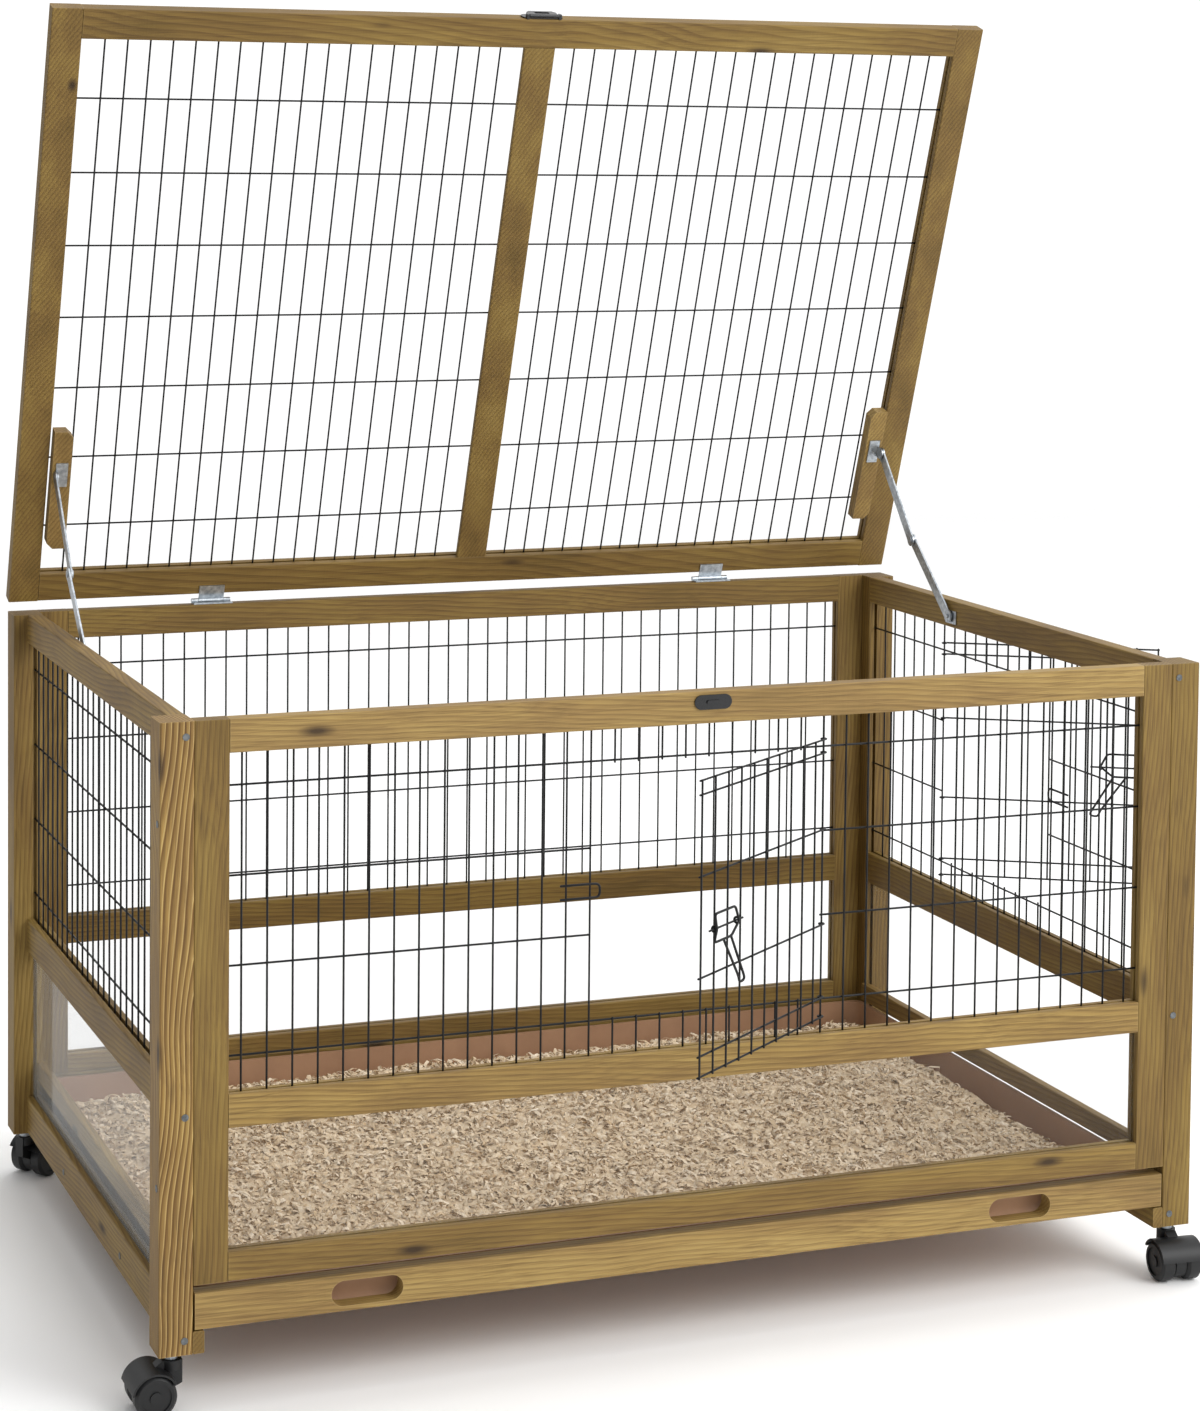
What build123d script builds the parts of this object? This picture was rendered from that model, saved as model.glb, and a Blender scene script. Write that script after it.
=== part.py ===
from build123d import *
import os
from math import atan2, cos, degrees, hypot, radians, sin, acos

# Indoor cage for small animals, in millimetres, +Z up.
# The origin is on the floor, under the middle of the cage's footprint.
# +X is to the right and +Y to the back, seen from in front of the cage.

# Overall sizes.
CAGE_WIDTH = 1150.0
CAGE_DEPTH = 740.0
POST_LENGTH = 615.0
CASTER_HEIGHT = 58.0

# Timber.
POST_WIDTH = 34.0
POST_DEPTH = 38.0
TIMBER = 18.0
STILE = 35.0
TOP_RAIL = 33.0
FRONT_MID_RAIL = 33.0
SIDE_MID_RAIL = 39.0
SIDE_BOTTOM_RAIL = 43.0
SIDE_BOTTOM_START = 1.0
FRONT_BOTTOM_START = 67.0
FRONT_BOTTOM_RAIL = 29.0
BACK_BOTTOM_START = 62.0
BACK_BOTTOM_RAIL = 22.0
MID_RAIL_START = 217.0
STOP_RAIL_HEIGHT = 52.0
SILL_DEPTH = 10.0
EDGE_ROUND = 1.5

# Wire and clear sheet, which sit in the same groove in the timber.
WIRE = 2.0
PITCH = 25.9
ROW_PITCH = 88.0
FIRST_ROW = 285.0
SIDE_MESH_START = 54.3
WIRE_MARGIN = 5.0
SHEET = 4.0
GROOVE_CLEAR = 0.1
GROOVE_DEPTH = 6.0
SHEET_CLEAR = 1.0

# Wire doors.
DOOR_PITCHES = 10
SIDE_DOOR_WIRES = 8
DOOR_LAP = 8.0
DOOR_INSET = 6.0
DOOR_LOWER_ROW = 9.0
DOOR_FOOT_LAP = 18.0
CURL_CLEAR = 0.5
CURL_REST = 0.3
FRONT_DOOR_OPEN = 36.0
SIDE_DOOR_OPEN = 60.0
LATCH_ROW = 408.7
LATCH_BAR_START = 180.0
LATCH_BAR_END = 246.0
LATCH_CLEAR = 0.4
LATCH_START = 12.0
LATCH_TRAVEL_ROOM = 10.0
LATCH_RISE = 16.0
LATCH_FALL = 12.0
LATCH_HANDLE = 44.0
HOOK_LENGTH = 43.5
HOOK_OVERLAP = 11.0
HOOK_START = 2.8
HOOK_HEIGHT = 14.0
HOOK_CORNER = 4.0

# Lid, with its hinge pin behind the back rail's edge.
LID_OPEN = 70.4
LID_PIN_INSET = 3.0
LID_LIFT = 3.0
LID_GAP = 8.6
LID_FRONT_LAP = 1.0
SLAT_WIDTH = 38.0
SLAT_THICK = 7.0
LID_FIRST_ROW = 103.5
LID_EDGE_WIRE = 28.0

# Lid hinges.
HINGE_X = 329.0
HINGE_MIDDLE = 31.0
HINGE_SIDE = 8.0
HINGE_LEAF = 1.4
HINGE_LEAF_LENGTH = 16.0
HINGE_PIN_RADIUS = 1.5
HINGE_BARREL_RADIUS = 2.8
PIN_CLEAR = 0.05
END_CLEAR = 0.4

# Folding stays of the lid.
BLOCK_WIDTH = 22.0
BLOCK_LENGTH = 150.0
BLOCK_START = 81.0
BLOCK_THICK = 15.0
BLOCK_GAP = 3.0
BLOCK_CHAMFER = 7.0
STAY_LID_V = 177.0
STAY_LID_DROP = 16.0
STAY_SIDE_V = 249.0
STAY_SIDE_DROP = 22.0
STAY_LOWER = 124.0
STAY_UPPER = 130.0
STAY_STRIP = 2.0
STAY_WIDTH = 13.0
STAY_BOSS_RADIUS = 7.5
STAY_PIN_RADIUS = 2.5
STAY_STANDOFF = 3.0
STAY_GAP = 0.5
BRACKET = 1.5

# Lid latch and its keeper.
LATCH_PLATE_LENGTH = 51.0
LATCH_PLATE_WIDTH = 14.0
LATCH_PLATE = 1.5
HASP_THICK = 2.0
HASP_LENGTH = 36.0
HASP_REACH = 16.0
LATCH_PIN_RADIUS = 1.2
LATCH_AXIS_OUT = 4.0
KEEPER_LENGTH = 41.0
KEEPER_WIDTH = 15.0
KEEPER_THICK = 1.6
KEEPER_BUMP = 1.6
KEEPER_DROP = 11.0

# Drawer.
DRAWER_START = 23.0
DRAWER_FRONT_HEIGHT = 36.0
DRAWER_SIDE_CLEAR = 2.0
SLOT_LENGTH = 74.0
SLOT_HEIGHT = 25.0
SLOT_X = 364.5
RUNNER_WIDTH = 11.5
RUNNER_HEIGHT = 22.0
RUNNER_CLEAR = 0.3
TRAY_WALL = 2.6
TRAY_RIM = 4.0
TRAY_HEIGHT = 37.5
TRAY_TAPER = 5.0
TRAY_BACK_GAP = 27.0
BEDDING_DEPTH = 14.0
BEDDING_CLEAR = 2.0

# Twin-wheel casters.
WHEEL_RADIUS = 21.0
WHEEL_WIDTH = 17.5
WHEEL_EDGE = 3.0
WHEEL_RIM = 6.0
WHEEL_HUB = 6.0
WHEEL_RECESS = 1.5
WEB = 12.0
TRAIL = 20.0
WHEEL_CLEAR = 0.8
AXLE_RADIUS = 3.0
HUB_RADIUS = 10.0
HUB_START = 19.0
STEM_RADIUS = 5.0
COLLAR_RADIUS = 6.5
COLLAR_HEIGHT = 8.0
STEM_IN_POST = 30.0
WASHER_RADIUS = 10.0
WASHER_THICK = 1.2
HOOD_SHELL = 2.0
SWIVELS = {"front_left": 180.0, "front_right": 265.0, "rear_left": 35.0, "rear_right": 10.0}

SCREW_RADIUS = 3.6
SCREW_HEAD = 0.6
SCREW_INSET = 8.5
SCREW_TOP_DROP = 15.0
SCREW_FOOT = 14.0
SCREW_SIDE_DROP = 99.0
SCREW_SIDE_BELOW = 54.0
SCREW_RAIL_FRONT = 229.0
SCREW_RAIL_BACK = 239.0
SCREW_RAIL_UP = 18.5

# Planes that follow from the sizes above.
LEFT = -CAGE_WIDTH / 2
RIGHT = CAGE_WIDTH / 2
FRONT = -CAGE_DEPTH / 2
BACK = CAGE_DEPTH / 2
FOOT = CASTER_HEIGHT
TOP = FOOT + POST_LENGTH
INNER_X = RIGHT - POST_WIDTH
INNER_Y = BACK - POST_DEPTH
MID_LOW = FOOT + MID_RAIL_START
TOP_LOW = TOP - TOP_RAIL
GROOVE = SHEET + 2 * GROOVE_CLEAR
HALF_WIRE = WIRE / 2
FRONT_PLANE = FRONT + TIMBER / 2
BACK_PLANE = BACK - TIMBER / 2
SIDE_PLANE = INNER_X + TIMBER / 2
DOOR_WIDTH = DOOR_PITCHES * PITCH
PIN_Y = BACK - LID_PIN_INSET
PIN_Z = TOP + LID_LIFT
CURL_RADIUS = HALF_WIRE / cos(radians(30)) + CURL_CLEAR - 0.15
CURL_MEAN = CURL_RADIUS + HALF_WIRE
ROWS = int((TOP_LOW - FOOT - FIRST_ROW - WIRE_MARGIN) / ROW_PITCH) + 1
FRONT_WIRES = 2 * int((INNER_X - STILE - WIRE_MARGIN) / PITCH) + 1
SIDE_WIRES = int((INNER_Y - FRONT - SIDE_MESH_START - WIRE_MARGIN) / PITCH) + 1

os.makedirs("parts", exist_ok=True)


def save(name, *solids):
    """Write one sub-component, made of one or more solids, to its own file."""
    shape = solids[0] if len(solids) == 1 else Compound(children=list(solids))
    export_step(shape, f"parts/{name}.step")


def block(x0, x1, y0, y1, z0, z1):
    """A rectangular block between two corners, given in any order."""
    size = Box(abs(x1 - x0), abs(y1 - y0), abs(z1 - z0))
    return Pos((x0 + x1) / 2, (y0 + y1) / 2, (z0 + z1) / 2) * size


def eased(solid, axis):
    """Round the long edges of a timber that runs along an axis."""
    return fillet(solid.edges().filter_by(axis), EDGE_ROUND)


def wire(start, end, facing):
    """A straight wire of six flats; one flat faces the given direction."""
    start = Vector(*start)
    run = Vector(*end) - start
    plane = Plane(origin=start, x_dir=facing, z_dir=run)
    outline = RegularPolygon(HALF_WIRE, 6, major_radius=False, rotation=30)
    return extrude(plane * outline, amount=run.length)


def ring(centre, axis, inner, outer, length):
    """A wire curl: a flat eight-sided loop about an axis, centred on a point."""
    plane = Plane(origin=Vector(*centre) - Vector(*axis) * (length / 2), z_dir=axis)
    outline = RegularPolygon(outer, 8, major_radius=False) - RegularPolygon(inner, 8, major_radius=False)
    return extrude(plane * outline, amount=length)


def disc(centre, axis, radius, length):
    """A round pin or head that starts at a point and runs along an axis."""
    plane = Plane(origin=Vector(*centre), z_dir=axis)
    return extrude(plane * Circle(radius), amount=length)


def stadium(length, width):
    """A flat outline with two parallel sides and round ends."""
    return SlotOverall(length, width)


# Corner posts, with a stopped groove for the side sheet and mesh,
# and a blind hole in the foot for the caster's stem.
groove_low = FOOT + SIDE_BOTTOM_START + SIDE_BOTTOM_RAIL - GROOVE_DEPTH
groove_high = TOP_LOW + GROOVE_DEPTH
for depth_name, outer_y, inner_y in (("front", FRONT, -INNER_Y), ("rear", BACK, INNER_Y)):
    for side_name, side in (("left", -1), ("right", 1)):
        post = eased(block(side * INNER_X, side * RIGHT, outer_y, inner_y, FOOT, TOP), Axis.Z)
        groove_end = inner_y + (GROOVE_DEPTH if inner_y > 0 else -GROOVE_DEPTH)
        post -= block(side * SIDE_PLANE - GROOVE / 2, side * SIDE_PLANE + GROOVE / 2,
                      inner_y, groove_end, groove_low, groove_high)
        stem_x = side * (RIGHT - POST_WIDTH / 2)
        stem_y = (outer_y + inner_y) / 2
        post -= disc((stem_x, stem_y, FOOT), (0, 0, 1), STEM_RADIUS + PIN_CLEAR, STEM_IN_POST)
        save(f"post_{depth_name}_{side_name}", post)


def long_frame(name, y0, y1, bottom_start, bottom_height):
    """A front or back frame: two stiles and three rails, grooved in mid-thickness."""
    plane = (y0 + y1) / 2
    bottom = FOOT + bottom_start
    bottom_top = bottom + bottom_height
    inner = INNER_X - STILE
    stiles = []
    for side in (-1, 1):
        stile = eased(block(side * inner, side * INNER_X, y0, y1, bottom, TOP), Axis.Z)
        stile -= block(side * inner, side * (inner + GROOVE_DEPTH), plane - GROOVE / 2,
                       plane + GROOVE / 2, bottom_top - GROOVE_DEPTH, groove_high)
        stiles.append(stile)
    save(f"{name}_stiles", *stiles)
    rails = {
        "top_rail": (TOP_LOW, TOP, True, False),
        "mid_rail": (MID_LOW, MID_LOW + FRONT_MID_RAIL, True, True),
        "bottom_rail": (bottom, bottom_top, False, True),
    }
    for rail_name, (low, high, below, above) in rails.items():
        rail = eased(block(-inner, inner, y0, y1, low, high), Axis.X)
        if below:
            rail -= block(-inner, inner, plane - GROOVE / 2, plane + GROOVE / 2, low, low + GROOVE_DEPTH)
        if above:
            rail -= block(-inner, inner, plane - GROOVE / 2, plane + GROOVE / 2, high - GROOVE_DEPTH, high)
        save(f"{name}_{rail_name}", rail)


long_frame("front", FRONT, FRONT + TIMBER, FRONT_BOTTOM_START, FRONT_BOTTOM_RAIL)
long_frame("back", BACK - TIMBER, BACK, BACK_BOTTOM_START, BACK_BOTTOM_RAIL)
save("back_stop_rail", eased(block(-INNER_X, INNER_X, BACK - TIMBER, BACK, FOOT, FOOT + STOP_RAIL_HEIGHT), Axis.X))

# Side frames: three rails between the posts, flush with the posts' inner faces.
side_bottom_top = FOOT + SIDE_BOTTOM_START + SIDE_BOTTOM_RAIL
for side_name, side in (("left", -1), ("right", 1)):
    side_rails = {
        "top_rail": (TOP_LOW, TOP, True, False),
        "mid_rail": (MID_LOW, MID_LOW + SIDE_MID_RAIL, True, True),
        "bottom_rail": (FOOT + SIDE_BOTTOM_START, side_bottom_top, False, True),
    }
    for rail_name, (low, high, below, above) in side_rails.items():
        rail = eased(block(side * INNER_X, side * (INNER_X + TIMBER), -INNER_Y, INNER_Y, low, high), Axis.Y)
        groove_x = (side * SIDE_PLANE - GROOVE / 2, side * SIDE_PLANE + GROOVE / 2)
        if below:
            rail -= block(*groove_x, -INNER_Y, INNER_Y, low, low + GROOVE_DEPTH)
        if above:
            rail -= block(*groove_x, -INNER_Y, INNER_Y, high - GROOVE_DEPTH, high)
        save(f"{side_name}_{rail_name}", rail)

# Inner sills over the tray's rim, and the runners that the drawer slides on.
sill_low = FOOT + BACK_BOTTOM_START
sills = []
runners = []
for side in (-1, 1):
    sill_outer = SIDE_PLANE - SHEET / 2 - SHEET_CLEAR
    sill = block(side * sill_outer, side * (sill_outer - SILL_DEPTH), -INNER_Y, INNER_Y,
                 sill_low, sill_low + BACK_BOTTOM_RAIL)
    sills.append(eased(sill, Axis.Y))
    runner = block(side * INNER_X, side * (INNER_X - RUNNER_WIDTH), FRONT, BACK - TIMBER,
                   FOOT, FOOT + RUNNER_HEIGHT)
    runners.append(eased(runner, Axis.Y))
save("sill_battens", *sills)
save("drawer_runners", *runners)

# Clear sheets, from groove bottom to groove bottom.
inner = INNER_X - STILE
sheet_top = MID_LOW + GROOVE_DEPTH
sheets = []
for plane, bottom_top in ((FRONT_PLANE, FOOT + FRONT_BOTTOM_START + FRONT_BOTTOM_RAIL),
                          (BACK_PLANE, FOOT + BACK_BOTTOM_START + BACK_BOTTOM_RAIL)):
    reach = inner + GROOVE_DEPTH
    sheets.append(block(-reach, reach, plane - SHEET / 2, plane + SHEET / 2,
                        bottom_top - GROOVE_DEPTH, sheet_top))
save("long_panes", *sheets)
reach = INNER_Y + GROOVE_DEPTH
save("side_panes", *[block(side * SIDE_PLANE - SHEET / 2, side * SIDE_PLANE + SHEET / 2, -reach, reach,
                           side_bottom_top - GROOVE_DEPTH, sheet_top) for side in (-1, 1)])


def mesh(place, outer, columns, low, high, left, right, gap=None):
    """A welded panel: upright wires outside, row wires inside, and a doorway if asked.

    place turns (along, outward, height) into a point, and outer is the outward direction.
    """
    wires = []
    rows = [FOOT + FIRST_ROW + ROW_PITCH * k for k in range(ROWS)]
    for k, along in enumerate(columns):
        if gap and gap[0] < k < gap[1]:
            wires.append(wire(place(along, HALF_WIRE, low), place(along, HALF_WIRE, rows[0] + WIRE), outer))
            wires.append(wire(place(along, HALF_WIRE, rows[-1] - WIRE), place(along, HALF_WIRE, high), outer))
        else:
            wires.append(wire(place(along, HALF_WIRE, low), place(along, HALF_WIRE, high), outer))
    for k, row in enumerate(rows):
        spans = [(left, right)]
        if gap and 0 < k < ROWS - 1:
            spans = [(left, columns[gap[0]] + HALF_WIRE), (columns[gap[1]] - HALF_WIRE, right)]
        for start, end in spans:
            wires.append(wire(place(start, -HALF_WIRE, row), place(end, -HALF_WIRE, row), outer))
    return wires


def hook(place, outer, along, sign):
    """The flat bent wire that takes a door's latch, welded on the two wires beside the doorway.

    It stays behind the closed door's edge wire, so that the door swings clear of it.
    """
    out = WIRE + HALF_WIRE
    low = FOOT + LATCH_ROW + HOOK_START
    high = low + HOOK_HEIGHT
    nose = along + sign * HOOK_OVERLAP
    tail = nose - sign * HOOK_LENGTH
    end = nose - sign * HALF_WIRE
    lap = HALF_WIRE / 2
    bent = wire(place(end, out, low + HOOK_CORNER - lap), place(end, out, high - HOOK_CORNER + lap), outer)
    for height, turn in ((low, low + HOOK_CORNER), (high, high - HOOK_CORNER)):
        bent += wire(place(tail, out, height), place(nose - sign * HOOK_CORNER, out, height), outer)
        bent += wire(place(nose - sign * (HOOK_CORNER + lap), out, height), place(end, out, turn), outer)
    return bent


mesh_low = MID_LOW + FRONT_MID_RAIL - GROOVE_DEPTH
side_mesh_low = MID_LOW + SIDE_MID_RAIL - GROOVE_DEPTH
mesh_high = TOP_LOW + GROOVE_DEPTH
long_columns = [(k - (FRONT_WIRES - 1) / 2) * PITCH for k in range(FRONT_WIRES)]
long_reach = inner + GROOVE_DEPTH
side_columns = [FRONT + SIDE_MESH_START + k * PITCH for k in range(SIDE_WIRES)]
side_reach = INNER_Y + GROOVE_DEPTH
door_left = (FRONT_WIRES - 1 - DOOR_PITCHES) // 2
front_gap = (door_left, door_left + DOOR_PITCHES)
side_gap = (SIDE_DOOR_WIRES, SIDE_DOOR_WIRES + DOOR_PITCHES)


def on_front(along, out, height):
    return (along, FRONT_PLANE - out, height)


def on_back(along, out, height):
    return (along, BACK_PLANE + out, height)


def on_left(along, out, height):
    return (-SIDE_PLANE - out, along, height)


def on_right(along, out, height):
    return (SIDE_PLANE + out, along, height)


front_wires = mesh(on_front, (0, -1, 0), long_columns, mesh_low, mesh_high, -long_reach, long_reach, front_gap)
front_wires.append(hook(on_front, (0, -1, 0), long_columns[front_gap[0]], 1))
save("front_mesh", *front_wires)
save("back_mesh", *mesh(on_back, (0, 1, 0), long_columns, mesh_low, mesh_high, -long_reach, long_reach))
save("left_mesh", *mesh(on_left, (-1, 0, 0), side_columns, side_mesh_low, mesh_high, -side_reach, side_reach))
right_wires = mesh(on_right, (1, 0, 0), side_columns, side_mesh_low, mesh_high, -side_reach, side_reach, side_gap)
right_wires.append(hook(on_right, (1, 0, 0), side_columns[side_gap[0]], 1))
save("right_mesh", *right_wires)


def door_solids(hinge_x, hinge_y):
    """A wire door and its sliding latch, closed, running to -X from the hinge wire."""
    rows = [FOOT + FIRST_ROW + ROW_PITCH * k for k in range(ROWS)]
    heights = [
        rows[-1] + DOOR_LAP,
        rows[-1] - DOOR_INSET,
        rows[2] + WIRE + CURL_REST,
        rows[1] - DOOR_LOWER_ROW,
        rows[0] + WIRE + CURL_REST,
        rows[0] - DOOR_FOOT_LAP,
    ]
    facing = (0, -1, 0)
    row_y = hinge_y - CURL_MEAN
    upright_y = row_y - WIRE
    bar_y = upright_y - WIRE
    door = []
    for height in heights:
        run = wire((hinge_x, row_y, height), (hinge_x - DOOR_WIDTH - HALF_WIRE, row_y, height), facing)
        curl = ring((hinge_x, hinge_y, height), (0, 0, 1), CURL_RADIUS, CURL_RADIUS + WIRE, WIRE)
        door.append(run + curl)
    for k in range(1, DOOR_PITCHES + 1):
        x = hinge_x - k * PITCH
        door.append(wire((x, upright_y, heights[-1] - HALF_WIRE), (x, upright_y, heights[0] + HALF_WIRE), facing))
    bar_z = FOOT + LATCH_ROW
    door.append(wire((hinge_x - LATCH_BAR_START, bar_y, bar_z), (hinge_x - LATCH_BAR_END, bar_y, bar_z), facing))

    ring_radius = HALF_WIRE / cos(radians(30)) + LATCH_CLEAR
    latch_y = bar_y - ring_radius - HALF_WIRE

    def at(s, z):
        return (hinge_x - s, latch_y, FOOT + z)

    top = LATCH_ROW + LATCH_RISE
    low = LATCH_ROW - LATCH_FALL
    grip = low - LATCH_HANDLE
    near = LATCH_BAR_START + LATCH_START
    far = LATCH_BAR_END - LATCH_TRAVEL_ROOM
    pieces = [
        ring((hinge_x - near, bar_y, bar_z), (1, 0, 0), ring_radius, ring_radius + WIRE, WIRE),
        ring((hinge_x - far, bar_y, bar_z), (1, 0, 0), ring_radius, ring_radius + WIRE, WIRE),
        wire(at(near, LATCH_ROW - 1), at(near + 8, top), facing),
        wire(at(far, LATCH_ROW - 1), at(far + 4, top), facing),
        wire(at(near + 7, top), at(far + 5, top), facing),
        wire(at(near, LATCH_ROW + 1), at(near + 15, low), facing),
        wire(at(far, LATCH_ROW + 1), at(far + 5, low), facing),
        wire(at(near + 14, low), at(far + 6, low), facing),
        wire(at(near + 16, low), at(near - 14, grip), facing),
        wire(at(near + 31, low), at(near + 1, grip), facing),
        wire(at(near - 13.4, grip + 0.8), at(near - 12, grip - 6), facing),
        wire(at(near + 0.4, grip + 0.8), at(near - 4, grip - 6), facing),
        wire(at(near - 12.6, grip - 5.6), at(near - 3.4, grip - 5.6), facing),
    ]
    latch = pieces[0]
    for piece in pieces[1:]:
        latch += piece
    return door, latch


def turned(shapes, x, y, angle):
    """Turn shapes about the upright axis through a point."""
    return [shape.rotate(Axis((x, y, 0), (0, 0, 1)), angle) for shape in shapes]


front_hinge_x = long_columns[front_gap[1]]
front_hinge_y = FRONT_PLANE - HALF_WIRE
door, latch = door_solids(front_hinge_x, front_hinge_y)
save("front_door", *turned(door, front_hinge_x, front_hinge_y, FRONT_DOOR_OPEN))
save("front_door_latch", *turned([latch], front_hinge_x, front_hinge_y, FRONT_DOOR_OPEN))
side_hinge_x = SIDE_PLANE + HALF_WIRE
side_hinge_y = side_columns[side_gap[1]]
door, latch = door_solids(side_hinge_x, side_hinge_y)
save("side_door", *turned(door, side_hinge_x, side_hinge_y, 90 + SIDE_DOOR_OPEN))
save("side_door_latch", *turned([latch], side_hinge_x, side_hinge_y, 90 + SIDE_DOOR_OPEN))


def lid_y(v):
    """Position of a point on the closed lid, v measured forwards from the hinge pin."""
    return PIN_Y - v


def lid_block(x0, x1, v0, v1, low, high):
    """A block on the closed lid: v from the pin, heights above the lid's underside."""
    return block(x0, x1, lid_y(v0), lid_y(v1), PIN_Z + low, PIN_Z + high)


def opened(*shapes):
    """Turn shapes from the closed lid to the propped lid."""
    return [shape.rotate(Axis((0, PIN_Y, PIN_Z), (1, 0, 0)), -LID_OPEN) for shape in shapes]


# Lid frame.
lid_front = PIN_Y - FRONT + LID_FRONT_LAP
lid_inner = RIGHT - STILE
rail_start = LID_GAP + STILE
rail_end = lid_front - STILE
lid_groove = (TIMBER / 2 - GROOVE / 2, TIMBER / 2 + GROOVE / 2)
lid_stiles = []
for side in (-1, 1):
    stile = eased(lid_block(side * lid_inner, side * RIGHT, LID_GAP, lid_front, 0, TIMBER), Axis.Y)
    stile -= lid_block(side * lid_inner, side * (lid_inner + GROOVE_DEPTH), rail_start - GROOVE_DEPTH,
                       rail_end + GROOVE_DEPTH, *lid_groove)
    lid_stiles.append(stile)
save("lid_stiles", *opened(*lid_stiles))
rear = eased(lid_block(-lid_inner, lid_inner, LID_GAP, rail_start, 0, TIMBER), Axis.X)
rear -= lid_block(-lid_inner, lid_inner, rail_start - GROOVE_DEPTH, rail_start, *lid_groove)
ahead = eased(lid_block(-lid_inner, lid_inner, rail_end, lid_front, 0, TIMBER), Axis.X)
ahead -= lid_block(-lid_inner, lid_inner, rail_end, rail_end + GROOVE_DEPTH, *lid_groove)
save("lid_cross_rails", *opened(rear, ahead))
slat = lid_block(-SLAT_WIDTH / 2, SLAT_WIDTH / 2, rail_start, rail_end, 0, SLAT_THICK)
save("lid_centre_slat", *opened(eased(slat, Axis.Y)))

# Lid mesh: long wires against the slat, row wires on top of them.
mesh_base = SLAT_THICK + HALF_WIRE
half_span = RIGHT - STILE - LID_EDGE_WIRE
lid_wires = []
lid_reach = lid_inner + GROOVE_DEPTH
lid_columns = int((half_span - SLAT_WIDTH / 2 - WIRE_MARGIN) / PITCH) + 1
lid_rows = int((rail_end - LID_FIRST_ROW - WIRE_MARGIN) / ROW_PITCH) + 1
for side in (-1, 1):
    for k in range(lid_columns):
        x = side * (half_span - k * PITCH)
        lid_wires.append(wire((x, lid_y(rail_start - GROOVE_DEPTH), PIN_Z + mesh_base),
                              (x, lid_y(rail_end + GROOVE_DEPTH), PIN_Z + mesh_base), (0, 0, 1)))
for k in range(lid_rows):
    y = lid_y(LID_FIRST_ROW + ROW_PITCH * k)
    lid_wires.append(wire((-lid_reach, y, PIN_Z + mesh_base + WIRE), (lid_reach, y, PIN_Z + mesh_base + WIRE), (0, 0, 1)))
save("lid_mesh", *opened(*lid_wires))

# Hinges: the lid's leaf has the middle barrel, the frame's leaf the two outer ones and the pin.
lid_leaves = []
frame_leaves = []
for side in (-1, 1):
    x = side * HINGE_X
    half = HINGE_MIDDLE / 2
    barrel = disc((x - half, PIN_Y, PIN_Z), (1, 0, 0), HINGE_BARREL_RADIUS, HINGE_MIDDLE)
    leaf = lid_block(x - half, x + half, 0, HINGE_LEAF_LENGTH + 4, -HINGE_LEAF, 0)
    leaf = barrel + leaf
    leaf -= disc((x - half - 1, PIN_Y, PIN_Z), (1, 0, 0), HINGE_PIN_RADIUS + PIN_CLEAR, HINGE_MIDDLE + 2)
    lid_leaves.append(leaf)
    outer = half + END_CLEAR + HINGE_SIDE
    plate = block(x - outer, x + outer, BACK - TIMBER + 2, PIN_Y - HINGE_BARREL_RADIUS - 0.6, TOP, TOP + HINGE_LEAF)
    pin = disc((x - outer, PIN_Y, PIN_Z), (1, 0, 0), HINGE_PIN_RADIUS, 2 * outer)
    frame_leaf = plate + pin
    for end in (-1, 1):
        start = x + end * (half + END_CLEAR)
        frame_leaf += disc((start, PIN_Y, PIN_Z), (end, 0, 0), HINGE_BARREL_RADIUS, HINGE_SIDE)
        frame_leaf += block(start, start + end * HINGE_SIDE, PIN_Y - HINGE_BARREL_RADIUS - 1, PIN_Y,
                            TOP, TOP + HINGE_LEAF)
    frame_leaves.append(frame_leaf)
save("hinge_lid_leaves", *opened(*lid_leaves))
save("hinge_frame_leaves", *frame_leaves)

# Stay geometry in the side plane: the lid's pivot, the side pivot and the elbow between them.
swing = radians(LID_OPEN)
lid_pivot_y = PIN_Y - STAY_LID_V * cos(swing) - STAY_LID_DROP * sin(swing)
lid_pivot_z = PIN_Z + STAY_LID_V * sin(swing) - STAY_LID_DROP * cos(swing)
side_pivot_y = PIN_Y - STAY_SIDE_V
side_pivot_z = PIN_Z - STAY_SIDE_DROP
reach_y = lid_pivot_y - side_pivot_y
reach_z = lid_pivot_z - side_pivot_z
reach = hypot(reach_y, reach_z)
bend = acos((STAY_LOWER ** 2 + reach ** 2 - STAY_UPPER ** 2) / (2 * STAY_LOWER * reach))
lower_angle = atan2(reach_z, reach_y) - bend
elbow_y = side_pivot_y + STAY_LOWER * cos(lower_angle)
elbow_z = side_pivot_z + STAY_LOWER * sin(lower_angle)


def link(x0, x1, start, end, hole_at_start):
    """A flat strip with round ends between two points in the side plane."""
    run = Vector(0, end[0] - start[0], end[1] - start[1])
    plane = Plane(origin=(min(x0, x1), start[0], start[1]), x_dir=run, z_dir=(1, 0, 0))
    outline = Pos(run.length / 2, 0) * Rectangle(run.length, STAY_WIDTH)
    outline += Circle(STAY_BOSS_RADIUS) + Pos(run.length, 0) * Circle(STAY_BOSS_RADIUS)
    if hole_at_start:
        outline -= Circle(STAY_PIN_RADIUS + PIN_CLEAR)
    return extrude(plane * outline, amount=abs(x1 - x0))


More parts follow.
